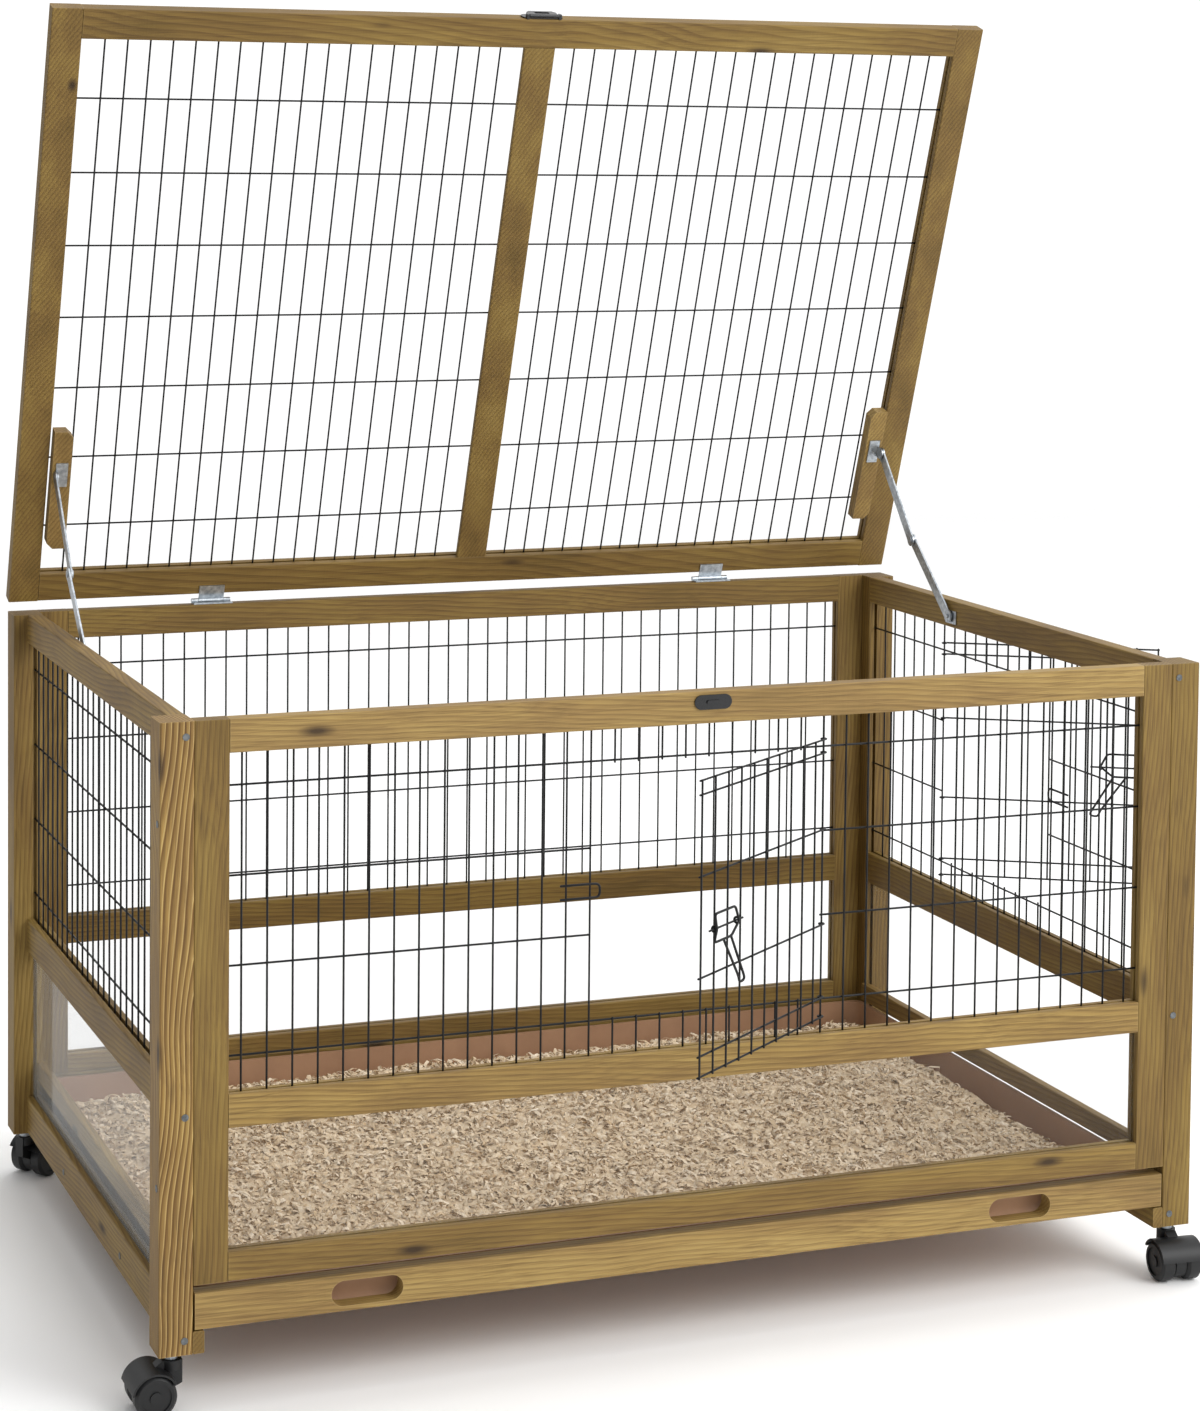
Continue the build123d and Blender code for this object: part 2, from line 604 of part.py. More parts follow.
lid_brackets = []
side_brackets = []
blocks = []
for side_name, side in (("left", -1), ("right", 1)):
    lower_x = INNER_X - STAY_STANDOFF
    upper_x = lower_x - STAY_STRIP - STAY_GAP
    lower = link(side * lower_x, side * (lower_x - STAY_STRIP), (side_pivot_y, side_pivot_z), (elbow_y, elbow_z), True)
    lower += disc((side * lower_x, elbow_y, elbow_z), (side, 0, 0), STAY_PIN_RADIUS + 1.5, 1.2)
    save(f"stay_lower_{side_name}", lower)
    upper = link(side * upper_x, side * (upper_x - STAY_STRIP), (lid_pivot_y, lid_pivot_z), (elbow_y, elbow_z), True)
    upper += disc((side * (upper_x - STAY_STRIP), elbow_y, elbow_z), (-side, 0, 0), STAY_PIN_RADIUS + 2.0, 1.6)
    save(f"stay_upper_{side_name}", upper)

    plate = block(side * INNER_X, side * (INNER_X - BRACKET), side_pivot_y - 15, side_pivot_y + 10,
                  side_pivot_z - 9, side_pivot_z + 7)
    plate += disc((side * INNER_X, side_pivot_y, side_pivot_z), (-side, 0, 0), STAY_PIN_RADIUS, STAY_STANDOFF + STAY_STRIP + 1.6)
    plate += disc((side * (lower_x + 0.3), side_pivot_y, side_pivot_z), (side, 0, 0), STAY_PIN_RADIUS + 2, STAY_STANDOFF - BRACKET - 0.3)
    side_brackets.append(plate)

    block_outer = RIGHT - STILE - BLOCK_GAP
    top_side = SLAT_THICK
    under = top_side - BLOCK_THICK
    mid_x = block_outer - BLOCK_WIDTH / 2
    wood = lid_block(side * block_outer, side * (block_outer - BLOCK_WIDTH), BLOCK_START,
                     BLOCK_START + BLOCK_LENGTH, under, top_side)
    corners = wood.edges().filter_by(Axis.Z).sort_by(Axis.Y)
    inward = sorted(corners[-2:], key=lambda edge: side * edge.center().X)
    outward = sorted(corners[:2], key=lambda edge: side * edge.center().X)
    blocks.append(chamfer([inward[-1], outward[0]], BLOCK_CHAMFER))

    ear_inner = upper_x - STAY_STRIP - 0.4
    bracket = lid_block(side * (mid_x - 7), side * (mid_x + 7), STAY_LID_V - 15, STAY_LID_V + 15, under - BRACKET, under)
    ear = lid_block(side * ear_inner, side * (ear_inner - BRACKET), STAY_LID_V - 7, STAY_LID_V + 7,
                    -STAY_LID_DROP, under)
    tip = disc((side * ear_inner, lid_y(STAY_LID_V), PIN_Z - STAY_LID_DROP), (-side, 0, 0), 7.0, BRACKET)
    pivot = disc((side * (ear_inner - BRACKET), lid_y(STAY_LID_V), PIN_Z - STAY_LID_DROP), (side, 0, 0),
                 STAY_PIN_RADIUS, BRACKET + 0.4 + STAY_STRIP + 0.2)
    lid_brackets.append(bracket + ear + tip + pivot)
save("stay_side_brackets", *side_brackets)
save("stay_lid_brackets", *opened(*lid_brackets))
save("lid_stay_blocks", *opened(*blocks))

# Lid latch on the lid's front edge, with a folding hasp, and the keeper on the front top rail.
edge_y = lid_y(lid_front)
plate = extrude(Plane(origin=(0, edge_y, PIN_Z + TIMBER / 2), x_dir=(1, 0, 0), z_dir=(0, -1, 0))
                * stadium(LATCH_PLATE_LENGTH, LATCH_PLATE_WIDTH), amount=LATCH_PLATE)
axis_y = edge_y - LATCH_AXIS_OUT
axis_z = PIN_Z + TIMBER / 2 - LATCH_PLATE_WIDTH / 2 - 1
lug_x = HASP_LENGTH / 2 + END_CLEAR
base = plate + disc((-lug_x - 3, axis_y, axis_z), (1, 0, 0), LATCH_PIN_RADIUS, 2 * lug_x + 6)
for end in (-1, 1):
    lug = block(end * lug_x, end * (lug_x + 3), edge_y, axis_y - 2, axis_z - 1.5, axis_z + 4)
    base += lug
hasp = block(-HASP_LENGTH / 2, HASP_LENGTH / 2, axis_y - HASP_THICK / 2, axis_y + HASP_THICK / 2,
             axis_z, axis_z + HASP_REACH)
hasp = chamfer(hasp.edges().filter_by(Axis.Y).sort_by(Axis.Z)[-2:], 4)
hasp -= block(-9, 9, axis_y - 3, axis_y + 3, axis_z + 6, axis_z + 12)
hasp += disc((-HASP_LENGTH / 2, axis_y, axis_z), (1, 0, 0), LATCH_PIN_RADIUS + 1.1, HASP_LENGTH)
hasp -= disc((-lug_x, axis_y, axis_z), (1, 0, 0), LATCH_PIN_RADIUS + PIN_CLEAR, 2 * lug_x)
save("lid_latch", *opened(base))
save("lid_latch_hasp", *opened(hasp))
keeper_face = Plane(origin=(0, FRONT, TOP - KEEPER_DROP), x_dir=(1, 0, 0), z_dir=(0, -1, 0))
keeper = extrude(keeper_face * stadium(KEEPER_LENGTH, KEEPER_WIDTH), amount=KEEPER_THICK)
keeper += extrude(keeper_face * stadium(15, 4), amount=KEEPER_THICK + KEEPER_BUMP)
save("latch_keeper", keeper)

# Drawer: the front board with two finger slots, and the tray behind it.
half_drawer = INNER_X - DRAWER_SIDE_CLEAR
drawer_low = FOOT + DRAWER_START
board = eased(block(-half_drawer, half_drawer, FRONT, FRONT + TIMBER, drawer_low, drawer_low + DRAWER_FRONT_HEIGHT), Axis.X)
slot_face = Plane(origin=(0, FRONT, drawer_low + DRAWER_FRONT_HEIGHT / 2), x_dir=(1, 0, 0), z_dir=(0, 1, 0))
for side in (-1, 1):
    board -= extrude(slot_face * Pos(side * SLOT_X, 0) * stadium(SLOT_LENGTH, SLOT_HEIGHT), amount=TIMBER)
save("drawer_front", board)

tray_floor = FOOT + RUNNER_HEIGHT + RUNNER_CLEAR
tray_front = FRONT + TIMBER
tray_back = BACK - TRAY_BACK_GAP
tray_y = (tray_front + tray_back) / 2
tray_length = tray_back - tray_front


def tray_level(height, shrink):
    """The tray's outline at one height, narrower towards the floor."""
    lean = TRAY_TAPER * (1 - height / TRAY_HEIGHT)
    width = 2 * half_drawer - 2 * TRAY_RIM - 2 * lean - 2 * shrink
    length = tray_length - 2 * TRAY_RIM - 2 * lean - 2 * shrink
    return Pos(0, tray_y, tray_floor + height) * RectangleRounded(width, length, 14)


shell = loft([tray_level(0, 0), tray_level(TRAY_HEIGHT, 0)])
shell -= loft([tray_level(TRAY_WALL, TRAY_WALL), tray_level(TRAY_HEIGHT, TRAY_WALL)])
rim = Pos(0, tray_y, tray_floor + TRAY_HEIGHT - TRAY_WALL) * RectangleRounded(2 * half_drawer, tray_length, 14)
rim -= Pos(0, tray_y, tray_floor + TRAY_HEIGHT - TRAY_WALL) * RectangleRounded(
    2 * half_drawer - 2 * TRAY_RIM - 2 * TRAY_WALL, tray_length - 2 * TRAY_RIM - 2 * TRAY_WALL, 14)
tray = shell + extrude(rim, amount=TRAY_WALL)
save("drawer_tray", tray)

# Bedding: a low mound of loose shavings that fills the tray's floor.
bed_floor = tray_floor + TRAY_WALL
bed_half = half_drawer - TRAY_RIM - TRAY_WALL
bed_front = tray_front + TRAY_RIM + TRAY_WALL
bed_back = tray_back - TRAY_RIM - TRAY_WALL
mound = [
    (bed_front, 7.0),
    (bed_front + 0.12 * tray_length, BEDDING_DEPTH),
    (bed_front + 0.40 * tray_length, BEDDING_DEPTH - 3),
    (bed_front + 0.68 * tray_length, BEDDING_DEPTH + 2),
    (bed_back, 9.0),
]
section = Plane(origin=(-bed_half, 0, bed_floor), x_dir=(0, 1, 0), z_dir=(1, 0, 0))
top_line = Spline(*mound)
ends = Polyline(mound[-1], (bed_back, 0), (bed_front, 0), mound[0])
bedding = extrude(section * make_face([top_line, ends]), amount=2 * bed_half)
bedding &= extrude(tray_level(TRAY_WALL, TRAY_WALL + BEDDING_CLEAR), amount=TRAY_HEIGHT)
save("bedding", bedding)

# Casters.
axle_z = WHEEL_RADIUS
hub_top = FOOT - COLLAR_HEIGHT - END_CLEAR
half_web = WEB / 2
wheel_start = half_web + WHEEL_CLEAR
wheel_end = wheel_start + WHEEL_WIDTH
stems = []
for place_name, angle in SWIVELS.items():
    x = (LEFT + POST_WIDTH / 2) if "left" in place_name else (RIGHT - POST_WIDTH / 2)
    y = (FRONT + POST_DEPTH / 2) if "front" in place_name else (BACK - POST_DEPTH / 2)
    stem = disc((x, y, FOOT - COLLAR_HEIGHT - 14), (0, 0, 1), STEM_RADIUS, COLLAR_HEIGHT + 14 + STEM_IN_POST)
    stem += disc((x, y, FOOT - COLLAR_HEIGHT), (0, 0, 1), COLLAR_RADIUS, COLLAR_HEIGHT)
    stem += disc((x, y, FOOT - WASHER_THICK), (0, 0, 1), WASHER_RADIUS, WASHER_THICK)
    stems.append(stem)

    side_view = Plane(origin=(0, half_web, 0), x_dir=(1, 0, 0), z_dir=(0, -1, 0))
    web = side_view * (Pos(TRAIL, axle_z) * Circle(WHEEL_RADIUS - 3))
    web += side_view * Polygon((-HUB_RADIUS, axle_z + 6), (TRAIL, axle_z - 8), (TRAIL + 6, axle_z + WHEEL_RADIUS - 4),
                               (HUB_RADIUS, hub_top), (-HUB_RADIUS, hub_top), align=None)
    hood = extrude(web, amount=WEB)
    hood += disc((0, 0, axle_z + HUB_START), (0, 0, 1), HUB_RADIUS, hub_top - axle_z - HUB_START)
    guard_inner = WHEEL_RADIUS + WHEEL_CLEAR
    guard = Circle(guard_inner + HOOD_SHELL) - Circle(guard_inner)
    guard &= Polygon((0, 0), (-60, 34), (-60, 80), (60, 80), (60, 12), align=None)
    guard_plane = Plane(origin=(TRAIL, wheel_end, axle_z), x_dir=(1, 0, 0), z_dir=(0, -1, 0))
    hood += extrude(guard_plane * guard, amount=2 * wheel_end)
    hood += disc((TRAIL, -wheel_end + 2.5, axle_z), (0, 1, 0), AXLE_RADIUS, 2 * wheel_end - 5)
    hood -= disc((0, 0, FOOT - COLLAR_HEIGHT - 14 - END_CLEAR), (0, 0, 1), STEM_RADIUS + PIN_CLEAR, 40)
    hood = Pos(x, y, 0) * Rot(0, 0, angle) * hood
    save(f"caster_hood_{place_name}", hood)

    profile = Polyline(
        (AXLE_RADIUS + PIN_CLEAR, 0),
        (WHEEL_RADIUS - WHEEL_EDGE, 0),
        (WHEEL_RADIUS, WHEEL_EDGE),
        (WHEEL_RADIUS, WHEEL_WIDTH - WHEEL_EDGE),
        (WHEEL_RADIUS - WHEEL_EDGE, WHEEL_WIDTH),
        (WHEEL_RADIUS - WHEEL_RIM, WHEEL_WIDTH),
        (WHEEL_RADIUS - WHEEL_RIM, WHEEL_WIDTH - WHEEL_RECESS),
        (WHEEL_HUB, WHEEL_WIDTH - WHEEL_RECESS),
        (WHEEL_HUB, WHEEL_WIDTH),
        (0, WHEEL_WIDTH),
        (0, WHEEL_WIDTH - 2),
        (AXLE_RADIUS + PIN_CLEAR, WHEEL_WIDTH - 2),
        close=True,
    )
    wheel = revolve(Plane.XZ * make_face(profile), Axis.Z)
    wheels = []
    for end in (-1, 1):
        turned_wheel = Rot(-90 * end, 0, 0) * wheel
        wheels.append(Pos(x, y, 0) * Rot(0, 0, angle) * Pos(TRAIL, end * wheel_start, axle_z) * turned_wheel)
    save(f"caster_wheels_{place_name}", *wheels)
save("caster_stems", *stems)

# Screw heads that show on the timber, as twelve-sided buttons.
def screw(centre, axis):
    """One low screw head on a face."""
    plane = Plane(origin=Vector(*centre), z_dir=axis)
    return extrude(plane * RegularPolygon(SCREW_RADIUS, 12), amount=SCREW_HEAD)


screws = []
for side in (-1, 1):
    for height in (POST_LENGTH - SCREW_TOP_DROP, MID_RAIL_START + SCREW_TOP_DROP, SCREW_FOOT):
        screws.append(screw((side * (INNER_X + SCREW_INSET), FRONT, FOOT + height), (0, -1, 0)))
    for height in (POST_LENGTH - SCREW_SIDE_DROP, MID_RAIL_START - SCREW_SIDE_BELOW):
        screws.append(screw((side * RIGHT, FRONT + TIMBER / 2, FOOT + height), (side, 0, 0)))
    for along in (FRONT + SCREW_RAIL_FRONT, BACK - SCREW_RAIL_BACK):
        screws.append(screw((side * (INNER_X + TIMBER), along, FOOT + SCREW_RAIL_UP), (side, 0, 0)))
save("frame_screws", *screws)
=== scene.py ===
"""Indoor cage for small animals: its looks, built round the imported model.

Timber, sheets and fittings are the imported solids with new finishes. The welded wire, the wire
doors with their latches, the stop board and the loose wood shavings are new surfaces that stand
for their solids. Lengths are in millimetres up to put_mesh, which turns them to metres.
"""
import logging
from dataclasses import dataclass, field
from enum import Enum
from math import cos, pi, radians, sin

import bpy
import numpy as np
from mathutils import Matrix, Vector


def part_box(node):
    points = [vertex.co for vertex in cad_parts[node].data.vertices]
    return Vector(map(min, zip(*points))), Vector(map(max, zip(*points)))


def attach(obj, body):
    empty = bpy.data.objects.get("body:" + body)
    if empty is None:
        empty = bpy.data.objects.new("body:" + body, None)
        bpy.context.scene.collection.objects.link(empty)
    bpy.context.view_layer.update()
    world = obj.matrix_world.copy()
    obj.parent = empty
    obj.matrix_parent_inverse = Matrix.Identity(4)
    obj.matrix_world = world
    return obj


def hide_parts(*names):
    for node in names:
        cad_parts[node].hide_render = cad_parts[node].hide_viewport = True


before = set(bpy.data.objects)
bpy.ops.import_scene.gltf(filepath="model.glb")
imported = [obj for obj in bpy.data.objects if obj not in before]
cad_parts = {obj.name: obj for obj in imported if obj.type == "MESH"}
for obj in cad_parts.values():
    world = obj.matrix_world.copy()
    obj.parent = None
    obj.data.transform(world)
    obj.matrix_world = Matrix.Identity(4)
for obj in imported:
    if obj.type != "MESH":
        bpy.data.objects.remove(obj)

LOG = logging.getLogger("cage")
MM = 0.001

# Sizes of the cage that the new pieces need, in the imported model's frame.
FRONT_Y = -370.0
FOOT_Z = 58.0
TIMBER = 18.0
WIRE_RADIUS = 1.1
LATCH_RADIUS = 1.3
PITCH = 25.9
FIRST_SIDE_WIRE = 54.3
FIRST_ROW = 285.0
ROW_PITCH = 88.0
ROWS_Z = tuple(FOOT_Z + FIRST_ROW + ROW_PITCH * k for k in range(4))
LID_PIN = (367.0, 676.0)
LID_OPEN_DEG = 70.4
FRONT_DOOR_OPEN_DEG = 36.0
SIDE_DOOR_OPEN_DEG = 60.0

# How far the two smaller rings that dome a wire's end are pushed out, and how wide they are,
# in radii, from the tip inwards.
DOME_PUSH = np.array([0.6, 0.33])
DOME_SIZE = np.array([0.12, 0.8])

# Metres between the places in the log that two boards in turn are cut from.
LOG_STEP = (1.7, 0.37, 0.61)

# Colour mixes: settings, and the numbers of their sockets.
BLEND = {"data_type": "RGBA", "blend_type": "MIX"}
TINT = {"data_type": "RGBA", "blend_type": "MULTIPLY"}
FACTOR, FIRST, SECOND, RESULT = 0, 6, 7, 2

Place = tuple[float, float, float]
Shape = tuple[np.ndarray, np.ndarray]
Tree = bpy.types.NodeTree
Node = bpy.types.Node
Socket = bpy.types.NodeSocket
Piece = bpy.types.Object


def hex_colour(code: str) -> tuple[float, float, float, float]:
    """Turn an sRGB hex code into linear light.

    Args:
        code: Six hex digits with a leading mark, such as "#A3854F".

    Returns:
        Red, green, blue and an alpha of one.
    """
    parts = [int(code[k:k + 2], 16) / 255 for k in (1, 3, 5)]
    linear = [p / 12.92 if p <= 0.04045 else ((p + 0.055) / 1.055) ** 2.4 for p in parts]
    return (linear[0], linear[1], linear[2], 1.0)


def add_node(tree: Tree, kind: str, inputs: dict | None = None,
             stops: tuple[tuple[float, str], ...] = (), **settings: object) -> Node:
    """Add one shader node with its settings, and feed its inputs.

    Args:
        tree: The node tree to add to.
        kind: Node type name after "ShaderNode".
        inputs: Input name or number to what feeds it: a socket, a node for its first output,
            or a value, where a hex code stands for its colour.
        stops: A colour ramp's positions and hex codes.
        **settings: Node properties.

    Returns:
        The new node.
    """
    node = tree.nodes.new("ShaderNode" + kind)
    for key, value in settings.items():
        setattr(node, key, value)
    for key, value in (inputs or {}).items():
        if isinstance(value, (Node, Socket)):
            tree.links.new(value.outputs[0] if isinstance(value, Node) else value, node.inputs[key])
        else:
            node.inputs[key].default_value = hex_colour(value) if isinstance(value, str) else value
    if stops:
        elements = node.color_ramp.elements
        while len(elements) < len(stops):
            elements.new(0.5)
        for element, (place, code) in zip(elements, stops):
            element.position = place
            element.color = hex_colour(code)
    return node


class Grain(Enum):
    """The direction a timber's grain runs, as the turn in degrees that lays it along X."""

    ACROSS = (0.0, 0.0, 0.0)
    DEPTH = (0.0, 0.0, -90.0)
    UPRIGHT = (0.0, 90.0, 0.0)
    LID = (-LID_OPEN_DEG, 0.0, -90.0)


@dataclass(frozen=True)
class Finish:
    """A surface finish that builds its material once."""

    name: str

    def material(self) -> bpy.types.Material:
        """Return the material, building it the first time."""
        found = bpy.data.materials.get(self.name)
        if found:
            return found
        material = bpy.data.materials.new(self.name)
        material.use_nodes = True
        tree = material.node_tree
        tree.nodes.clear()
        shader = self.surface(tree, add_node(tree, "TexCoord").outputs["Object"])
        add_node(tree, "OutputMaterial", {"Surface": shader})
        return material

    def surface(self, tree: Tree, place: Socket) -> Node:
        """Build the nodes; each finish has its own.

        Args:
            tree: The material's empty tree.
            place: The Object coordinates, in metres.

        Returns:
            The shader.
        """
        raise NotImplementedError


@dataclass(frozen=True)
class StainedPine(Finish):
    """Sawn softwood, brush-stained a honey brown, with worn pale edges, knots and growth rings.

    Fields other than the name give the grain's direction, how dark the board is painted
    (the stain's own tone together with painted shade), how strong its figure is, and where
    in the log it was cut.
    """

    grain: Grain = Grain.ACROSS
    shade: float = 0.0
    figure: float = 0.5
    cut: float = 0.0

    def lay_along(self, tree: Tree, place: Socket) -> Node:
        """Turn the coordinates until the grain runs along X, and move them along the log."""
        along = place
        for axis, degrees in enumerate(self.grain.value):
            if degrees:
                turn = [0.0, 0.0, 0.0]
                turn[axis] = radians(degrees)
                along = add_node(tree, "Mapping", {"Vector": along, "Rotation": turn})
        shift = [self.cut * step for step in LOG_STEP]
        return add_node(tree, "Mapping", {"Vector": along, "Location": shift})

    def bend_along(self, tree: Tree, along: Node) -> Node:
        """Bend the coordinates slowly, as the trunk was bent, and more on a strong figure."""
        slow = add_node(tree, "Mapping", {"Vector": along, "Scale": (3.2, 9.0, 9.0)})
        bend = add_node(tree, "TexNoise",
                        {"Vector": slow, "Scale": 1.0, "Detail": 2.0, "Roughness": 0.45})
        offset = add_node(tree, "VectorMath",
                          {0: bend.outputs["Color"], "Scale": 0.012 + 0.03 * self.figure},
                          operation="SCALE")
        return add_node(tree, "VectorMath", {0: along, 1: offset}, operation="ADD")

    def stained(self, tree: Tree, along: Node, rings: Socket, fibre: Node) -> Socket:
        """Colour the wood: clouds of stain, then darker late wood, then fibre streaks.

        Args:
            tree: The material's tree.
            along: Coordinates with the grain along X.
            rings: Place between one growth ring and the next, from 0 to 1.
            fibre: Noise drawn out along the grain.

        Returns:
            The colour before knots and wear.
        """
        # Slow clouds of stain, some 250 mm long and 60 mm wide.
        slow = add_node(tree, "Mapping", {"Vector": along, "Scale": (3.0, 14.0, 14.0)})
        drift = add_node(tree, "TexNoise",
                         {"Vector": slow, "Scale": 1.3, "Detail": 4.0, "Roughness": 0.6})
        clouds = add_node(tree, "ValToRGB", {"Fac": drift}, (
            (0.28, "#806A3D"), (0.45, "#92794A"), (0.58, "#A08853"), (0.75, "#AF9861")))
        late_wood = add_node(tree, "ValToRGB", {"Fac": rings}, (
            (0.0, "#FFF8E6"), (0.4, "#F4E8CE"), (0.88, "#A98F68"), (1.0, "#E8D8B8")))
        share = min(1.0, 0.3 + 0.7 * self.figure)
        colour = add_node(tree, "Mix", {FACTOR: share, FIRST: clouds, SECOND: late_wood},
                          **TINT).outputs[RESULT]
        if self.figure > 0.8:
            # Cut along the rings, the soft early wood takes less stain and shows as pale lines.
            pale = add_node(tree, "ValToRGB", {"Fac": rings}, (
                (0.0, "#000000"), (0.05, "#B0B0B0"), (0.22, "#000000"), (1.0, "#000000")))
            colour = add_node(tree, "Mix", {FACTOR: pale, FIRST: colour, SECOND: "#D9BE83"},
                              **BLEND).outputs[RESULT]
        streaks = add_node(tree, "ValToRGB", {"Fac": fibre}, (
            (0.3, "#A79682"), (0.55, "#FFFFFF"), (0.8, "#FFF3DC")))
        return add_node(tree, "Mix", {FACTOR: 0.6, FIRST: colour, SECOND: streaks},
                        **TINT).outputs[RESULT]

    def knotted(self, tree: Tree, along: Node, colour: Socket) -> Socket:
        """Add knots 8 to 16 mm across, some 250 mm apart along the board, with a dark halo."""
        cells = add_node(tree, "Mapping", {"Vector": along, "Scale": (5.2, 17.0, 17.0)})
        knot = add_node(tree, "TexVoronoi", {"Vector": cells, "Scale": 1.0, "Randomness": 1.0})
        for start, end, cover, tone in ((0.05, 0.16, 0.3, "#5E4324"), (0.03, 0.11, 0.9, "#33220F")):
            near = add_node(tree, "MapRange", {"Value": knot, "From Min": start, "From Max": end,
                                               "To Min": cover, "To Max": 0.0})
            colour = add_node(tree, "Mix", {FACTOR: near, FIRST: colour, SECOND: tone},
                              **BLEND).outputs[RESULT]
        return colour

    def handled(self, tree: Tree, colour: Socket) -> Node:
        """Pale the arrises, which handling and sanding wear, and set the board's own depth."""
        bevel = add_node(tree, "Bevel", {"Radius": 2.2 * MM}, samples=4)
        flat = add_node(tree, "NewGeometry").outputs["True Normal"]
        facing = add_node(tree, "VectorMath", {0: bevel, 1: flat}, operation="DOT_PRODUCT")
        worn = add_node(tree, "MapRange",
                        {"Value": facing.outputs["Value"], "From Min": 0.98, "From Max": 0.80,
                         "To Min": 0.0, "To Max": 0.35})
        colour = add_node(tree, "Mix", {FACTOR: worn, FIRST: colour, SECOND: "#B79F70"},
                          **BLEND).outputs[RESULT]
        # Each board is darkened by its shade: partly the stain's own tone, partly painted shade
        # for boards that sit in the cage's shade or face away from the light.
        return add_node(tree, "HueSaturation", {"Color": colour, "Value": 1.0 - self.shade,
                                                "Saturation": 1.0 + 0.25 * self.shade})

    def surface(self, tree: Tree, place: Socket) -> Node:
        """Growth rings are bent bands, fibres are long noise, and knots are dark cells."""
        along = self.lay_along(tree, place)
        bent = self.bend_along(tree, along)
        # Growth rings, some 5 mm apart on the face.
        ring_at = add_node(tree, "Mapping", {"Vector": bent, "Scale": (0.06, 1.0, 0.93)})
        rings = add_node(tree, "TexWave",
                         {"Vector": ring_at, "Scale": 120.0, "Distortion": 1.1, "Detail": 2.0,
                          "Detail Scale": 0.35, "Detail Roughness": 0.5},
                         wave_type="BANDS", bands_direction="DIAGONAL",
                         wave_profile="SAW").outputs["Fac"]
        # Fibres a millimetre wide and some 90 mm long.
        fibre_at = add_node(tree, "Mapping", {"Vector": bent, "Scale": (11.0, 900.0, 900.0)})
        fibre = add_node(tree, "TexNoise",
                         {"Vector": fibre_at, "Scale": 1.0, "Detail": 3.0, "Roughness": 0.6})
        colour = self.stained(tree, along, rings, fibre)
        colour = self.handled(tree, self.knotted(tree, along, colour))
        rough = add_node(tree, "MapRange", {"Value": fibre, "To Min": 0.5, "To Max": 0.75})
        # The saw leaves faint marks across the grain about 3 mm apart.
        saw_at = add_node(tree, "Mapping", {"Vector": along, "Scale": (330.0, 3.0, 3.0)})
        saw = add_node(tree, "TexNoise", {"Vector": saw_at, "Scale": 1.0, "Detail": 1.0})
        relief = add_node(tree, "Math", {0: fibre, 1: saw}, operation="ADD")
        relief = add_node(tree, "Math", {0: relief, 1: rings}, operation="ADD")
        bump = add_node(tree, "Bump", {"Height": relief, "Strength": 0.35, "Distance": 0.3 * MM})
        return add_node(tree, "BsdfPrincipled", {"Base Color": colour, "Roughness": rough,
                                                 "IOR": 1.4, "Normal": bump})


@dataclass(frozen=True)
class CoatedSteelWire(Finish):
    """Drawn steel wire with a baked black powder coat: near black, a soft sheen, orange peel."""

    def surface(self, tree: Tree, place: Socket) -> Node:
        """A cool black with faint mottling and a bump of coat grains 1.2 mm apart."""
        coat = add_node(tree, "TexNoise", {"Vector": place, "Scale": 800.0, "Detail": 2.0})
        cloud = add_node(tree, "TexNoise", {"Vector": place, "Scale": 30.0, "Detail": 2.0})
        colour = add_node(tree, "ValToRGB", {"Fac": cloud}, ((0.3, "#050607"), (0.7, "#0B0D10")))
        bump = add_node(tree, "Bump", {"Height": coat, "Strength": 0.2, "Distance": 0.1 * MM})
        return add_node(tree, "BsdfPrincipled", {"Base Color": colour, "Roughness": 0.45,
                                                 "IOR": 1.35, "Normal": bump})


@dataclass(frozen=True)
class ZincPlatedSteel(Finish):
    """Pressed mild steel with bright zinc plate: pale blue-grey, clouded, with rolling lines."""

    dark: str = "#8E959C"
    light: str = "#C3C8CC"
    gloss: float = 0.24
    gloss_drift: float = 0.24

    def surface(self, tree: Tree, place: Socket) -> Node:
        """A metal whose colour and gloss drift over cells of about 5 mm."""
        cloud = add_node(tree, "TexNoise", {"Vector": place, "Scale": 220.0, "Detail": 3.0})
        colour = add_node(tree, "ValToRGB", {"Fac": cloud}, ((0.3, self.dark), (0.7, self.light)))
        rough = add_node(tree, "MapRange", {"Value": cloud, "To Min": self.gloss,
                                            "To Max": self.gloss + self.gloss_drift})
        line_at = add_node(tree, "Mapping", {"Vector": place, "Scale": (60.0, 900.0, 900.0)})
        lines = add_node(tree, "TexNoise", {"Vector": line_at, "Scale": 1.0, "Detail": 1.0})
        bump = add_node(tree, "Bump", {"Height": lines, "Strength": 0.15, "Distance": 0.05 * MM})
        return add_node(tree, "BsdfPrincipled", {"Base Color": colour, "Metallic": 1.0,
                                                 "Roughness": rough, "Normal": bump})


@dataclass(frozen=True)
class MouldedPlastic(Finish):
    """Injection-moulded plastic, spark-eroded: one colour, slight flow clouds, a dull sheen."""

    dark: str = "#050607"
    light: str = "#0A0B0D"
    rough: float = 0.5
    grain_mm: float = 0.8

    def surface(self, tree: Tree, place: Socket) -> Node:
        """A two-tone cloud for the flow marks and a fine bump for the tool's texture."""
        cloud = add_node(tree, "TexNoise",
                         {"Vector": place, "Scale": 14.0, "Detail": 5.0, "Roughness": 0.6})
        colour = add_node(tree, "ValToRGB", {"Fac": cloud}, ((0.3, self.dark), (0.7, self.light)))
        grain = add_node(tree, "TexNoise", {"Vector": place, "Scale": 1.0 / (self.grain_mm * MM),
                                            "Detail": 1.0})
        bump = add_node(tree, "Bump", {"Height": grain, "Strength": 0.2, "Distance": 0.08 * MM})
        return add_node(tree, "BsdfPrincipled", {"Base Color": colour, "Roughness": self.rough,
                                                 "IOR": 1.49, "Normal": bump})


